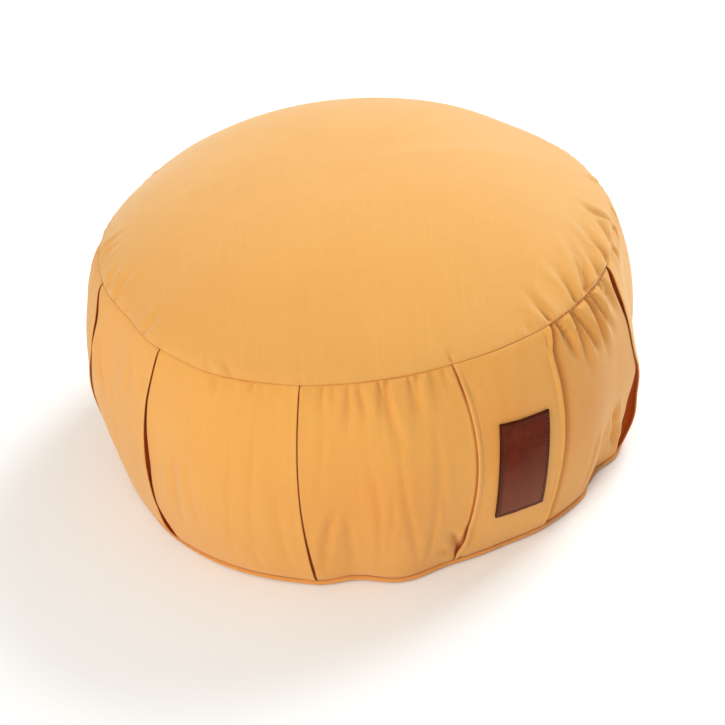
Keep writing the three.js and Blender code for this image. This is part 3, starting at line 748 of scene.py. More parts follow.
def thread_material(name, colour):
    mat = bpy.data.materials.new(name)
    mat.use_nodes = True
    nt = mat.node_tree
    shader = nt.nodes["Principled BSDF"]
    place = node(nt, "ShaderNodeTexCoord").outputs["Object"]
    fibre = noise(nt, place, 2600.0, 2.0, 0.5)
    dark = tuple(c * 0.6 for c in colour) + (1.0,)
    nt.links.new(tint(nt, colour + (1.0,), spread(nt, fibre, 0.35, 0.65, 0.0, 0.6), dark), shader.inputs["Base Color"])
    shader.inputs["Roughness"].default_value = 0.6
    b = node(nt, "ShaderNodeBump", {"Strength": 0.4, "Distance": 0.0001})
    nt.links.new(fibre, b.inputs["Height"])
    nt.links.new(b.outputs[0], shader.inputs["Normal"])
    return mat


COTTON_BAND = cotton("cotton_band", (0.773, 0.354, 0.075), 1.0)
# the top's material carries a painted highlight at its back right
COTTON_TOP = cotton("cotton_top", (0.757, 0.362, 0.087), 2.0, 0.6)
COTTON_BASE = cotton("cotton_base", (0.74, 0.31, 0.075), 3.0)
LEATHER = leather_material()
THREAD = thread_material("label_thread", (0.075, 0.022, 0.012))
SEAM_THREAD = thread_material("seam_thread", (0.42, 0.15, 0.030))


# ---------------------------------------------------------------- the band with its folds
def fold_value(row, name, t):
    levels, values = FOLD_LEVELS, FOLDS[row["top"]][name]
    return float(sum(w * np.interp(t + d, levels, values) for d, w in ((-0.02, 0.25), (0.0, 0.5), (0.02, 0.25))))


# Columns across a pleat: along is mm from the fold line, minus on the lapping side.
LAP = [-15.0, -12.5, -10.2, -8.2, -6.5, -5.1, -4.0, -3.1, -2.4, -1.8, -1.3]
TURN = [80, 50, 20, -10, -40, -70, -90]
BACK = [-2.2, -3.6, -5.0]
UNDER = [-4.6, -3.0, -1.4, 0.0]
RISE = [0.12, 0.24, 0.36, 0.48, 0.6, 0.72, 0.84, 1.0]
BEYOND = [1.4, 3.2, 5.4, 8.0, 11.0]


def pleat_columns(row, t):
    """along, height, worn share and painted-shade share of a pleat's columns at level t, in order across the fold."""
    lip, gape, wide = (fold_value(row, k, t) for k in ("lip", "gape", "open"))
    along, height, worn, shade = [], [], [], []
    r = min(0.6, 0.28 + 0.16 * lip)
    for s in LAP:
        along.append(s), height.append(lip * float(ease((s + 13) / 10.5)))
        worn.append(float(ease((s + 2.6) / 2.2)) * 0.5), shade.append(0.0)
    # painted shade: it starts on the fold's turn, is full in the opening under the lapping edge, fades up the rise and
    # lingers a little beyond
    for a in TURN:
        c = math.radians(a)
        along.append(-r + r * math.cos(c)), height.append(lip - r + r * math.sin(c))
        worn.append(0.6 if a > 0 else 0.0), shade.append(0.0 if a > 20 else min(1.0, (30 - a) / 90))
    low = lip - 2 * r
    for i, s in enumerate(BACK):
        along.append(s), height.append(low - 0.1 * (i + 1)), worn.append(0.0), shade.append(1.0)
    floor = min(-gape, low - 0.75)
    for s in UNDER:
        along.append(s), height.append(floor + (low - 0.4 - floor) * 0.3 * float(ease((-2.6 - s) / 2.4)))
        worn.append(0.0), shade.append(1.0)
    for q in RISE:
        h = floor * (1 - float(ease(q))) - 0.10 * (1 - q) * gape
        along.append(q * wide), height.append(h)
        worn.append(0.0), shade.append(min(1.0, max(0.0, -h / min(3.2, max(1.6, 0.55 * gape))) ** 0.8))
    for i, d in enumerate(BEYOND):
        along.append(wide + d), height.append(0.22 * math.sin(d * 0.5) * (1 - d / 11.0)), worn.append(0.0)
        shade.append(0.16 * max(0.0, 1 - d / 4.0) * min(1.0, gape / 3.0))
    return np.array(along), np.array(height), np.array(worn), np.array(shade)


def panel_edge_columns(row, t):
    """The band beside the front panel's edge dips under the panel and runs on below it."""
    out = 1 if row["kind"] == "panel_right" else -1   # towards the open band
    places = np.array([16, 12.5, 9.8, 7.6, 5.8, 4.4, 3.4, 2.6, 1.9, 1.3, 0.7, 0.1, -0.8, -2.4, -4.5]) * 1.0
    left = float(out < 0)
    deep = 3.3 - 2.5 * left + left * float(np.interp(t, (0, 0.05, 0.12, 0.24, 0.8, 0.9, 1), (0.2, 1.0, 1.4, 0.1, 0.0, 0.7, 0.4)))
    reach = 6.6 - 4.6 * left + left * float(np.interp(t, (0, 0.05, 0.12, 0.22, 1), (0.0, 1.4, 2.6, 0.0, 0.0)))
    height = -deep * (1 - ease(places / reach))
    along = places * out
    worn = np.zeros(len(places))
    # painted shade in the dip beside the panel's edge; at the right edge a darker line and a wider shaded strip beyond
    # it
    shade = np.clip(-height / 2.0, 0, 1) * ease((2.4 - places) / 2.4)
    if not left:
        shade = np.maximum(1.0 * np.exp(-np.clip(places - 0.4, 0, None) / 1.3), 0.42 * ease((9.5 - places) / 8.0)) * min(1.0, 0.45 + 0.9 * t)
    if out < 0:
        return along, height, worn, shade
    return along[::-1], height[::-1], worn, shade[::-1]


def band_columns(t):
    """For level t: azimuth, height off the smooth surface, worn and shaded share of every column of the band."""
    f = fold_lines(t)
    per = 180 / (math.pi * AROUND)
    azs, heights, worns, shades = [], [], [], []
    edges = []
    for k, row in enumerate(FOLD_ROWS):
        if row["kind"] == "pleat":
            along, height, worn, shade = pleat_columns(row, t)
            if row["turn"] < 0:
                along, height, worn, shade = -along[::-1], height[::-1], worn[::-1], shade[::-1]
        else:
            along, height, worn, shade = panel_edge_columns(row, t)
        edges.append((f[k] + along * per, height, worn, shade))
    for k, row in enumerate(FOLD_ROWS):
        az, height, worn, shade = edges[k]
        azs.append(az), heights.append(height), worns.append(worn), shades.append(shade)
        first = edges[(k + 1) % 12][0][0] + (360 if k == 11 else 0)
        n = GAPS[k]
        share = np.arange(1, n + 1) / (n + 1)
        azs.append(az[-1] + (first - az[-1]) * share)
        flat = height[-1] + (edges[(k + 1) % 12][1][0] - height[-1]) * share
        heights.append(flat), worns.append(np.zeros(n)), shades.append(np.zeros(n))
    return np.concatenate(azs), np.concatenate(heights), np.concatenate(worns), np.concatenate(shades)


GAPS = [max(6, int(round(((fold_lines(0.5)[k + 1] - fold_lines(0.5)[k]) * math.pi * AROUND / 180 - 28) / FINE_STEP))) for k in range(12)]
GAPS[0] += len(band_columns(0.5)[0]) % 2   # an even number of columns, so that the ends close in pairs
FINE_LEVELS = levels(2.0, 0.55, 14)


def seam_dip(distance, deep=SEAM_GROOVE, wide=1.9):
    return -deep * np.exp(-(distance / wide) ** 1.3)


def stitch_pucker(az, distance, radius):
    """Small dimples along a seam, one for each stitch, stronger where the cloth is eased in."""
    along = np.radians(az) * radius
    strong = 0.35 + 0.65 * np.exp(-(((az - 328 + 180) % 360 - 180) / 26.0) ** 2)
    wave = np.sin(along * 2 * math.pi / 3.3 + 0.8 * np.sin(along / 21.0)) * np.sin(along / 37.0 + 1.0) ** 2
    return 0.28 * strong * wave * np.exp(-(distance / 3.2) ** 2)


def seam_shade(az):
    """Painted shade along the seam's line: darker at the front right, where it is under strain, and fading in and out
    elsewhere.
    """
    front = np.exp(-(((az - 312 + 180) % 360 - 180) / 30.0) ** 2)
    return 0.10 + 0.42 * front + 0.10 * np.sin(az * 0.31 + 1.0) * np.sin(az * 0.083)


def hump(x, middle, wide):
    return np.exp(-((np.asarray(x, float) - middle) / wide) ** 2)


def soft_shade(az, t):
    """Painted shade on both sides of the front panel, half way up."""
    return 0.28 * hump(az, 319, 12) * hump(t, 0.5, 0.36) + 0.22 * hump(az, 271, 15) * hump(t, 0.42, 0.25)


def build_band():
    b = Build()
    rows, edges, shades = [], [], []
    for t in FINE_LEVELS:
        az, height, worn, shade = band_columns(t)
        p, n = band_point(az, t)
        p = p + moved_on_band(az, t)
        down, up = (1 - t) * BAND_HEIGHT, t * BAND_HEIGHT
        calm = min(1.0, down / 1.3, up / 1.3)
        h = height + seam_dip(down) + seam_dip(up, 1.2) + stitch_pucker(az, down, 168) * (down > 0.3)
        h = h + crease_field(BAND_CREASES, az, np.full_like(az, t), BAND_HEIGHT) * calm * FINE_SHARE
        rows.append(p + n * h[:, None])
        # painted shade: pleat openings, crease troughs (up to 0.4) and the soft field beside the front panel darken the
        # colour
        creased = crease_field(BAND_CREASES, az, np.full_like(az, t), BAND_HEIGHT)
        edges.append(worn), shades.append(np.clip(np.maximum(shade, np.clip(-creased * 0.22, 0, 0.4)) + soft_shade(az % 360, t), 0, 1))
    grid, edge, shade = np.array(rows), np.array(edges), np.array(shades)
    edge = np.maximum(edge, np.exp(-((1 - FINE_LEVELS) * BAND_HEIGHT - 2.4) ** 2 / 3.0)[:, None] * 0.5)
    # painted shade along the top and bottom seam lines
    near_seam = np.exp(-((1 - FINE_LEVELS) * BAND_HEIGHT / 0.42) ** 2) + np.exp(-(FINE_LEVELS * BAND_HEIGHT / 0.55) ** 2)
    shade = np.maximum(shade, near_seam[:, None] * seam_shade(np.array([band_columns(t)[0] for t in FINE_LEVELS])))
    step = np.linalg.norm(np.diff(np.concatenate([grid, grid[:, :1]], 1), axis=1), axis=-1)
    mid = len(FINE_LEVELS) // 2
    u = np.concatenate([[0], np.cumsum(step[mid])])
    v = np.concatenate([[0], np.cumsum(np.linalg.norm(np.diff(grid[:, 5], axis=0), axis=-1))])
    u, v = np.broadcast_arrays(u[None], v[:, None])
    index = b.add(grid, edge, shade)
    b.quads(index, u, v, wrap=True)
    # closed inside, under the top panel and over the bottom panel
    cols = grid.shape[1]
    even = fold_lines(1.0)[0] + np.linspace(0, 360, cols, endpoint=False)
    seam, foot = look("seam", even, 1.0), look("foot", even, 0.0)
    top = [polar(even, seam - 7.0, TOP_Z - 2.6), polar(even, seam - 40, TOP_Z - 2.6), polar(even, seam * 0 + 1.0, TOP_Z - 2.6)]
    low = [polar(even, seam * 0 + 1.0, 2.6), polar(even, foot - 40, 2.6), polar(even, foot - 9.0, 2.6),
           polar(even, foot - 3.0, lift(even) - 0.6)]
    ti, li = b.add(np.array(top)), b.add(np.array(low))
    rows = np.concatenate([index[-1:], ti])
    b.quads(rows, np.broadcast_to(np.linspace(0, 1100, cols + 1)[None], (len(rows), cols + 1)), np.arange(len(rows))[:, None] * 10.0, wrap=True)
    rows = np.concatenate([li, index[:1]])
    b.quads(rows, np.broadcast_to(np.linspace(0, 1100, cols + 1)[None], (len(rows), cols + 1)), np.arange(len(rows))[:, None] * 10.0, wrap=True)
    for ring, flip in ((ti[-1], False), (li[0], True)):
        half = cols // 2
        pair = np.stack([ring[:half], ring[::-1][:half]])
        b.quads(pair, np.zeros(pair.shape), np.zeros(pair.shape), flip=not flip)
    return b.make("cushion_band", COTTON_BAND)


FINE_SHARE = 1.15


def build_top():
    b = Build()
    ringset = rings(2.6, 0.5, 12)
    cols = 600
    az = np.arange(cols) * 360 / cols
    outer = []
    for s in ringset[::-1]:
        p, n = crown_point(az, s)
        R = look("seam", az, 1.0)
        inset = (1 - s) * 166.0
        h = seam_dip(inset, SEAM_GROOVE * 0.9, 1.8) + stitch_pucker(az + 0.4, inset, 168) * (inset > 0.3)
        h = h + crease_field(CROWN_CREASES, az, np.full_like(az, s), 166.0) * min(1.0, inset / 1.5) * FINE_SHARE
        outer.append(p + moved_on_crown(az, s) + n * h[:, None])
    outer = np.array(outer)
    outer[-1, :, 2] += 0.22
    inner_rings = [1.0, 0.985, 0.95, 0.85, 0.7, 0.5, 0.3, float(ringset[-1])]
    inner = []
    for s in inner_rings:
        p, n = crown_point(az, s)
        inset = (1 - s) * 166.0
        deep = CLOTH + (0.0 if s < 1 else 0.2)
        q = p + moved_on_crown(az, s) - n * deep + n * seam_dip(inset, SEAM_GROOVE * 0.9, 1.8)
        if s == 1.0:
            q = p + n * seam_dip(0.0, SEAM_GROOVE * 0.9, 1.8) + polar(az, -2.2, -1.2) + CENTRE
        inner.append(q)
    inner = np.array(inner)
    edge = np.exp(-((1 - ringset[::-1]) * 166 - 2.6) ** 2 / 3.0)[:, None] * 0.6
    # painted shade along the seam's groove
    seam_line_shade = np.exp(-((1 - ringset[::-1]) * 166 / 0.45) ** 2)[:, None] * seam_shade(az)[None]
    io, ii = b.add(outer, np.broadcast_to(edge, outer.shape[:2]), seam_line_shade), b.add(inner)

    def flat_map(grid):
        g = np.concatenate([grid, grid[:, :1]], 1)
        return g[..., 0], g[..., 1]
    b.quads(io, *flat_map(outer), wrap=True, flip=True)
    b.quads(ii, *flat_map(inner), wrap=True, flip=True)
    b.quads(np.stack([io[-1], ii[0]]), *flat_map(np.stack([outer[-1], inner[0]])), wrap=True, flip=True)
    half = cols // 2
    for ring, grid, flip in ((io[0], outer[0], False), (ii[-1], inner[-1], True)):
        pair = np.stack([ring[:half], ring[::-1][:half]])
        pts = np.stack([grid[:half], grid[::-1][:half]])
        b.quads(pair, pts[..., 0], pts[..., 1], flip=flip)
    return b.make("cushion_top", COTTON_TOP)


BASE_PROFILE = (  # out from the bottom seam's radius, and up from the floor where the seam is 4.5 mm up
    (-1.3, 4.3), (-0.9, 4.05), (-0.4, 3.7), (0.1, 3.2), (0.35, 2.6), (0.35, 2.0), (0.0, 1.4), (-0.8, 0.85),
    (-2.2, 0.42), (-4.4, 0.15), (-7.5, 0.03), (-11.0, 0.0), (-16.0, 0.0), (-30.0, 0.0), (-60.0, 0.0), (-100.0, 0.0), (-140.0, 0.0),
)


def build_base():
    b = Build()
    cols = 480
    az = np.arange(cols) * 360 / cols
    foot = look("foot", az, 0.0) - 1.7 * np.exp(-(((az - 196 + 180) % 360 - 180) / 24.0) ** 4)
    outer = []
    for i, (out, z) in enumerate(BASE_PROFILE):
        pucker = 0.15 * np.sin(np.radians(az) * 172 * 2 * math.pi / 3.4) * math.exp(-(i - 3.0) ** 2 / 3.0)
        outer.append(polar(az, foot + out + pucker, z * lift(az) / 4.5))
    outer = np.array(outer)
    inner = np.array([polar(az, foot - 2.4, 3.7 * lift(az) / 4.5), polar(az, foot - 2.9, 2.4), polar(az, foot - 5, 1.6),
                      polar(az, foot - 9, CLOTH), polar(az, foot - 140, CLOTH)])
    edge = np.exp(-(np.arange(len(outer)) - 3.0) ** 2 / 4.0)[:, None] * 0.5
    io, ii = b.add(outer, np.broadcast_to(edge, outer.shape[:2])), b.add(inner)

    def flat_map(grid):
        g = np.concatenate([grid, grid[:, :1]], 1)
        return g[..., 0], g[..., 1] + g[..., 2]
    b.quads(io, *flat_map(outer), wrap=True, flip=True)
    b.quads(ii, *flat_map(inner), wrap=True)
    b.quads(np.stack([io[0], ii[0]]), *flat_map(np.stack([outer[0], inner[0]])), wrap=True)
    half = cols // 2
    for ring, grid, flip in ((io[-1], outer[-1], True), (ii[-1], inner[-1], False)):
        pair = np.stack([ring[:half], ring[::-1][:half]])
        pts = np.stack([grid[:half], grid[::-1][:half]])
        b.quads(pair, pts[..., 0], pts[..., 1], flip=flip)
    return b.make("cushion_base", COTTON_BASE)


# ---------------------------------------------------------------- front panel and label
PANEL_LEFT = next(r for r in SECTIONS if r["kind"] == "panel_left")
PANEL_RIGHT = next(r for r in SECTIONS if r["kind"] == "panel_right")
PANEL_THICK = 1.5
# Corners of the label as azimuth and level: bottom left, bottom right, top right, top left.
LABEL = dict(corners=((293.5, 0.213), (304.9, 0.187), (306.0, 0.672), (294.9, 0.697)), wide=36.0, tall=70.5, thick=1.5)


PANEL_CREASES = [dict(zip(("az0", "t0", "az1", "t1", "width", "depth", "fade"), row)) for row in (
    (308.2, 0.995, 309.0, 0.90, 1.3, 1.1, "free"),
    (289.0, 0.92, 291.6, 0.80, 2.2, 0.6, "free"),
    (302.0, 0.98, 303.0, 0.78, 3.2, 0.45, "seam"),
    (296.0, 0.98, 296.4, 0.84, 3.0, 0.35, "seam"),
    (287.4, 0.02, 289.6, 0.20, 2.4, 0.8, "free"),
    (292.0, 0.01, 292.6, 0.14, 2.6, 0.6, "free"),
    (298.0, 0.01, 299.4, 0.12, 2.8, 0.6, "free"),
    (303.6, 0.02, 304.6, 0.13, 2.6, 0.5, "free"),
)]


def panel_height(side, t):
    """How proud the panel stands, side mm in from its nearer edge: a turned hem with a line of stitches beside it."""
    full = 0.35 + 0.65 * min(1.0, (1 - t) * BAND_HEIGHT / 10, t * BAND_HEIGHT / 10)
    hem = 0.85 * np.exp(-((side - 1.2) / 1.6) ** 2)
    groove = 0.2 * np.exp(-((side - 3.7) / 0.6) ** 2) * (1 + 0.35 * np.sin(t * BAND_HEIGHT * 2 * math.pi / 3.0))
    return (0.6 + hem - groove) * full


def panel_surface(share, t):
    """Points and normals of the panel's face. share runs from its left edge to its right one."""
    left, right = line_az(PANEL_LEFT, t), line_az(PANEL_RIGHT, t)
    wide = (right - left) * math.pi * AROUND / 180
    az = left + (right - left) * share
    p, n = band_point(az, t)
    down, up = (1 - t) * BAND_HEIGHT, t * BAND_HEIGHT
    side = np.minimum(share, 1 - share) * wide
    h = panel_height(side, t) + seam_dip(down) + seam_dip(up, 1.2)
    h = h + 0.10 * np.sin(az * 1.9 + t * 7) * np.sin(t * 11 + az * 0.4)
    h = h + 0.6 * crease_field(PANEL_CREASES, az, np.full_like(az, t), BAND_HEIGHT) * min(1.0, down / 2.0, up / 2.0)
    h = h + stitch_pucker(az, down, 168) * (down > 0.3)
    return p + 0.8 * moved_on_band(az, t) + n * h[:, None], n


def build_panel():
    b = Build()
    wide = (line_az(PANEL_RIGHT, 0.5) - line_az(PANEL_LEFT, 0.5)) * math.pi * AROUND / 180
    rim = np.array([0.6, 1.1, 1.7, 2.3, 2.8, 3.2, 3.5, 3.8, 4.1, 4.5, 5.2])
    inside = np.concatenate([rim, np.arange(7.0, wide - 6.2, 1.9), wide - rim[::-1]]) / wide
    turn = [90, 60, 30, 0, -30, -60, -90]
    r = PANEL_THICK / 2
    outer_rows, marks, panel_shade = [], [], []
    for t in FINE_LEVELS:
        p, n = panel_surface(inside, t)
        along = p[-1] - p[-2]
        row = []
        # a closed loop round the panel's section: face, right edge, back, left edge
        out_r = (p[-1] - p[-2]) / np.linalg.norm(p[-1] - p[-2])
        out_l = (p[0] - p[1]) / np.linalg.norm(p[0] - p[1])
        row += list(p)
        for a in turn[1:-1]:
            c = math.radians(a)
            row.append(p[-1] - n[-1] * r + out_r * r * math.cos(c) + n[-1] * r * math.sin(c))
        row += list((p - n * 2 * r)[::-1])
        for a in turn[1:-1][::-1]:
            c = math.radians(a)
            row.append(p[0] - n[0] * r + out_l * r * math.cos(c) + n[0] * r * math.sin(c))
        outer_rows.append(row)
        count = len(inside)
        m = np.zeros(len(row))
        m[[0, 1, 2, 3, count - 4, count - 3, count - 2, count - 1]] = 0.5
        m[count:count + 5] = 0.9
        m[-5:] = 0.9
        marks.append(m)
        d = np.zeros(len(row))
        # painted shade on the panel's left part, beside and above the label
        d[:count] = 0.30 * hump(inside, 0.3, 0.35) * hump(t, 0.62, 0.22)
        panel_shade.append(d)
    grid, marks = np.array(outer_rows), np.array(marks)
    step = np.linalg.norm(np.diff(np.concatenate([grid, grid[:, :1]], 1), axis=1), axis=-1)
    u = np.concatenate([[0], np.cumsum(step[len(grid) // 2])])
    v = FINE_LEVELS * BAND_HEIGHT * 1.04
    index = b.add(grid, marks, np.array(panel_shade))
    b.quads(index, np.broadcast_to(u[None], (len(v), len(u))), np.broadcast_to(v[:, None], (len(v), len(u))), wrap=True)
    count = len(inside)
    for row, flip in ((0, True), (len(grid) - 1, False)):
        face, back = index[row, :count], index[row, count + 5:2 * count + 5][::-1]
        b.quads(np.stack([face, back]), np.broadcast_to(u[:count], (2, count)), np.broadcast_to([[0.0], [1.5]], (2, count)), flip=flip)
        # the rounded ends of the section
        right = index[row, count:count + 5]
        left = index[row, -5:]
        for edge, a, z, side in ((right, face[-1], back[-1], 1), (left, back[0], face[0], -1)):
            ring = [a, *edge, z]
            quad = [[ring[0], ring[1], ring[5], ring[6]], [ring[1], ring[2], ring[4], ring[5]]]
            tri = [ring[2], ring[3], ring[4]]
            for q in quad:
                q = q if not flip else q[::-1]
                b.faces.append(np.array([q])), b.maps.append(np.zeros((4, 2)))
            b.tris = getattr(b, "tris", []) + [tri if not flip else tri[::-1]]
    return b


def label_place(across, up_):
    """Azimuth and level of a place on the label, from parts of its width and height."""
    a, b, c, d = (np.array(x) for x in LABEL["corners"])
    x, y = np.asarray(across, float)[..., None], np.asarray(up_, float)[..., None]
    place = a * (1 - x) * (1 - y) + b * x * (1 - y) + c * x * y + d * (1 - x) * y
    return place[..., 0], place[..., 1]


def label_surface(across, up_, height):
    az, t = label_place(across, up_)
    out, normals = [], []
    for a, b in zip(np.atleast_1d(az), np.atleast_1d(t)):
        left, right = line_az(PANEL_LEFT, b), line_az(PANEL_RIGHT, b)
        p, n = panel_surface(np.array([(a - left) / (right - left)]), b)
        out.append(p[0]), normals.append(n[0])
    out, normals = np.array(out), np.array(normals)
    return out + normals * height, normals


def build_label():
    b = Build()
    cols, rows = 34, 62
    thick, round_r = LABEL["thick"], 0.7
    w, h = LABEL["wide"], LABEL["tall"]

    def spaced(n, size):
        x = np.linspace(0, size, n)
        e = [0, 0.25, 0.6, 1.0, 1.5, 2.1, 3.0]
        return np.unique(np.round(np.concatenate([e, x[(x > 3.6) & (x < size - 3.6)], size - np.array(e)]), 4))
    xs, ys = spaced(cols, w), spaced(rows, h)
    grid, under, mark = [], [], []
    for y in ys:
        level = np.full(len(xs), y / h)
        ex, ey = np.minimum(xs, w - xs), min(y, h - y)
        near = np.minimum(ex, ey)
        drop = np.where(near < round_r, round_r - np.sqrt(np.maximum(0.0, round_r ** 2 - (round_r - near) ** 2)), 0.0)
        groove = 0.28 * np.exp(-((near - 2.2) / 0.45) ** 2)
        puff = 0.12 * np.exp(-((near - 1.3) / 0.5) ** 2)
        warp = 0.25 * np.sin(y / 13.0) * (xs / w - 0.5)
        top = 0.35 + thick - drop - groove + puff + warp * 0.4
        p, _ = label_surface(xs / w, level, top[:, None])
        q, _ = label_surface(xs / w, level, np.full((len(xs), 1), 0.25))
        grid.append(p), under.append(q)
        mark.append(np.clip(np.exp(-(near / 1.1) ** 2) * 0.95 + np.exp(-((near - 2.2) / 0.5) ** 2) * 0.6, 0, 1))
    grid, under, mark = np.array(grid), np.array(under), np.array(mark)
    io, iu = b.add(grid, mark), b.add(under, 1.0)
    uu, vv = np.broadcast_arrays(xs[None], ys[:, None])
    b.quads(io, uu, vv), b.quads(iu, uu, vv, flip=True)
    b.quads(np.stack([iu[0], io[0]]), np.stack([xs, xs]), np.array([[0.0], [1.5]]))
    b.quads(np.stack([io[-1], iu[-1]]), np.stack([xs, xs]), np.array([[0.0], [1.5]]))
    b.quads(np.stack([io[:, 0], iu[:, 0]]), np.stack([ys, ys]), np.array([[0.0], [1.5]]))
    b.quads(np.stack([iu[:, -1], io[:, -1]]), np.stack([ys, ys]), np.array([[0.0], [1.5]]))
    return b.make("leather_patch", LEATHER)


def build_stitches():
    """One mesh of short dark stitches in the label's groove."""
    w, h = LABEL["wide"], LABEL["tall"]
    inset, pitch, length, radius = 2.2, 3.1, 2.2, 0.28
    path = []
    for start, end in (((inset, inset), (w - inset, inset)), ((w - inset, inset), (w - inset, h - inset)),
                       ((w - inset, h - inset), (inset, h - inset)), ((inset, h - inset), (inset, inset))):
        run = math.dist(start, end)
        n = int(round(run / pitch))
        for i in range(n):
            mid = (i + 0.5) / n
            d = ((end[0] - start[0]) / run, (end[1] - start[1]) / run)
            c = (start[0] + (end[0] - start[0]) * mid, start[1] + (end[1] - start[1]) * mid)
            path.append((c, d))
    b = Build()
    ends, sides = 9, 8
    for c, d in path:
        rings_ = []
        for i in range(ends):
            q = i / (ends - 1)
            x = c[0] + d[0] * (q - 0.5) * length
            y = c[1] + d[1] * (q - 0.5) * length
            p, n = label_surface(np.array([x / w]), np.array([y / h]), 0.0)
            x2, y2 = x + d[0] * 0.2, y + d[1] * 0.2
            p2, _ = label_surface(np.array([x2 / w]), np.array([y2 / h]), 0.0)
            along = p2[0] - p[0]
            along /= np.linalg.norm(along)
            side = np.cross(n[0], along)
            size = radius * math.sqrt(max(0.02, 1 - (2 * q - 1) ** 4))
            lift = 0.35 + LABEL["thick"] - 0.30 + 0.30 * math.sin(math.pi * q)
            ring = [p[0] + n[0] * lift + size * (math.cos(a) * side + math.sin(a) * n[0]) for a in np.linspace(0, 2 * math.pi, sides, endpoint=False)]
            rings_.append(ring)
        index = b.add(np.array(rings_))
        b.quads(index, np.zeros((ends, sides + 1)), np.zeros((ends, sides + 1)), wrap=True, flip=True)
        for row, flip in ((0, False), (ends - 1, True)):
            pair = np.stack([index[row, :4], index[row, ::-1][:4]])
            b.quads(pair, np.zeros(pair.shape), np.zeros(pair.shape), flip=flip)
    return b.make("label_stitches", THREAD)


def build_seam_stitches():
    """Stitches of the top seam that show where the gathers pull it open, at the front right."""
    b = Build()
    ends, sides, radius = 7, 6, 0.24
    places = np.arange(312.6, 334.0, 1.12)
    for i, mid in enumerate(places):
        mid = mid + 0.12 * math.sin(i * 2.3)
        rings_ = []
        for j in range(ends):
            q = j / (ends - 1)
            az = np.array([mid + 0.10 * (q - 0.5)])
            p, n = band_point(az, 1.0)
            _, m = crown_point(az, 0.9999)
            side = np.array([-math.sin(math.radians(az[0])), math.cos(math.radians(az[0])), 0.0])
            out = n[0] + m[0]
            out /= np.linalg.norm(out)
            across = np.cross(out, side)
            c = p[0] + moved_on_band(az, 1.0)[0] + across * (q - 0.5) * 1.9 - out * (0.75 - 0.35 * math.sin(math.pi * q))
            size = radius * math.sqrt(max(0.03, 1 - (2 * q - 1) ** 4))
            rings_.append([c + size * (math.cos(a) * side + math.sin(a) * out) for a in np.linspace(0, 2 * math.pi, sides, endpoint=False)])
        index = b.add(np.array(rings_))
        b.quads(index, np.zeros((ends, sides + 1)), np.zeros((ends, sides + 1)), wrap=True, flip=True)
        for row, flip in ((0, False), (ends - 1, True)):
            pair = np.stack([index[row, :3], index[row, ::-1][:3]])
            b.quads(pair, np.zeros(pair.shape), np.zeros(pair.shape), flip=flip)
    return b.make("seam_stitches", SEAM_THREAD)


def panel_object():
    b = build_panel()
    tris = getattr(b, "tris", [])
    piece = b.make("front_flap", COTTON_BAND)
    import bmesh
    bm = bmesh.new()
    bm.from_mesh(piece.data)
    bm.verts.ensure_lookup_table()
    for tri in tris:
        f = bm.faces.new([bm.verts[int(i)] for i in tri])
        f.smooth = True
    bmesh.ops.recalc_face_normals(bm, faces=bm.faces)
    bm.to_mesh(piece.data)
    bm.free()
    return piece


band = build_band()
top = build_top()
base = build_base()
flap = panel_object()
label = build_label()
stitches = build_stitches()
seam_stitches = build_seam_stitches()

for piece, nodes, slot in (
    (band, ["side_band"], "cotton_band"), (top, ["top_panel"], "cotton_panel"), (base, ["bottom_panel"], "cotton_panel"),
    (flap, ["front_panel"], "cotton_band"), (label, ["leather_label"], "leather"), (stitches, [], "leather"), (seam_stitches, [], "cotton_panel"),
):
    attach(piece, "root")
    if nodes:
        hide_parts(*nodes)


# ---------------------------------------------------------------- stage, lights and camera
def floor_object():
    mesh = bpy.data.meshes.new("floor")
    s = 6.0
    mesh.from_pydata([(-s, -s, 0), (s, -s, 0), (s, s, 0), (-s, s, 0)], [], [(0, 1, 2, 3)])
    mat = bpy.data.materials.new("floor_white")
    mat.use_nodes = True
    sh = mat.node_tree.nodes["Principled BSDF"]
    sh.inputs["Base Color"].default_value = (0.94, 0.955, 0.965, 1)
    sh.inputs["Roughness"].default_value = 0.9
    sh.inputs["Specular IOR Level"].default_value = 0.1
    mesh.materials.append(mat)
    o = bpy.data.objects.new("floor", mesh)
    o.location.z = -0.0004
    bpy.context.scene.collection.objects.link(o)
    return o


floor_object()

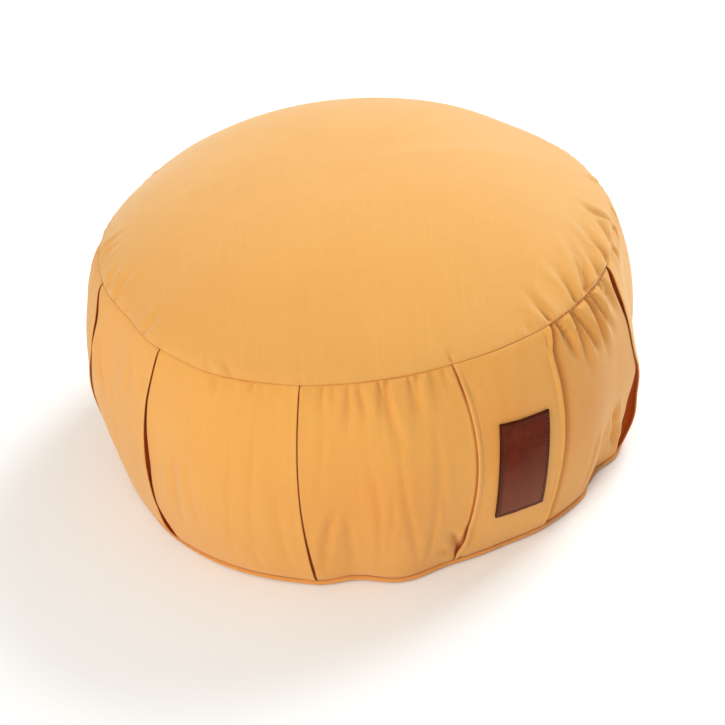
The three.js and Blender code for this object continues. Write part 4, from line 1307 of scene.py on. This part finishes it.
world = bpy.data.worlds.new("studio")
bpy.context.scene.world = world
world.use_nodes = True
world.node_tree.nodes["Background"].inputs["Color"].default_value = (1.0, 0.99, 0.986, 1)
world.node_tree.nodes["Background"].inputs["Strength"].default_value = 0.568


def area_light(name, place, target, size, watts, colour=(1, 1, 1)):
    data = bpy.data.lights.new(name, "AREA")
    data.shape, data.size, data.energy, data.color = "SQUARE", size, watts, colour
    o = bpy.data.objects.new(name, data)
    o.location = place
    o.rotation_mode = "QUATERNION"
    o.rotation_quaternion = (Vector(target) - Vector(place)).to_track_quat("-Z", "Y")
    bpy.context.scene.collection.objects.link(o)
    return o


area_light("key", (1.037, 1.002, 1.35), (0, 0, 0.12), 0.95, 35.0, (0.845, 0.962, 1.0))
area_light("left", (-1.15, -1.45, 1.25), (0, 0, 0.08), 1.0, 23.7, (1.0, 0.99, 0.903))

ELEVATION, ROLL, DISTANCE, FOCAL = 34.0, 5.4, 1.320, 1995.0   # degrees, degrees, m, pixels of the 725 frame
TARGET_PX = (362.0, 320.0)                                     # where the axis at z 80 mm lands

axis = Vector((-CENTRE[0] / 1000, -CENTRE[1] / 1000, 0.080))
e = math.radians(ELEVATION)
back = Vector((0, -math.cos(e), math.sin(e)))
right = Vector((1, 0, 0))
up = back.cross(right)
basis = Matrix((right, up, back)).transposed()
basis = basis @ Matrix.Rotation(-math.radians(ROLL), 3, "Z")
basis = basis @ Matrix.Rotation(-math.atan((362.5 - TARGET_PX[1]) / FOCAL), 3, "X") @ Matrix.Rotation(math.atan((TARGET_PX[0] - 362.5) / FOCAL), 3, "Y")
camera_data = bpy.data.cameras.new("camera")
camera_data.sensor_width, camera_data.sensor_fit = 36.0, "HORIZONTAL"
camera_data.lens = 36.0 * FOCAL / 725.0
camera_data.clip_start, camera_data.clip_end = 0.05, 50
camera = bpy.data.objects.new("camera", camera_data)
bpy.context.scene.collection.objects.link(camera)
camera.matrix_world = Matrix.Translation(axis + back * DISTANCE) @ basis.to_4x4()
bpy.context.scene.camera = camera
bpy.context.scene.view_settings.view_transform = "Standard"
bpy.context.scene.view_settings.look = "None"
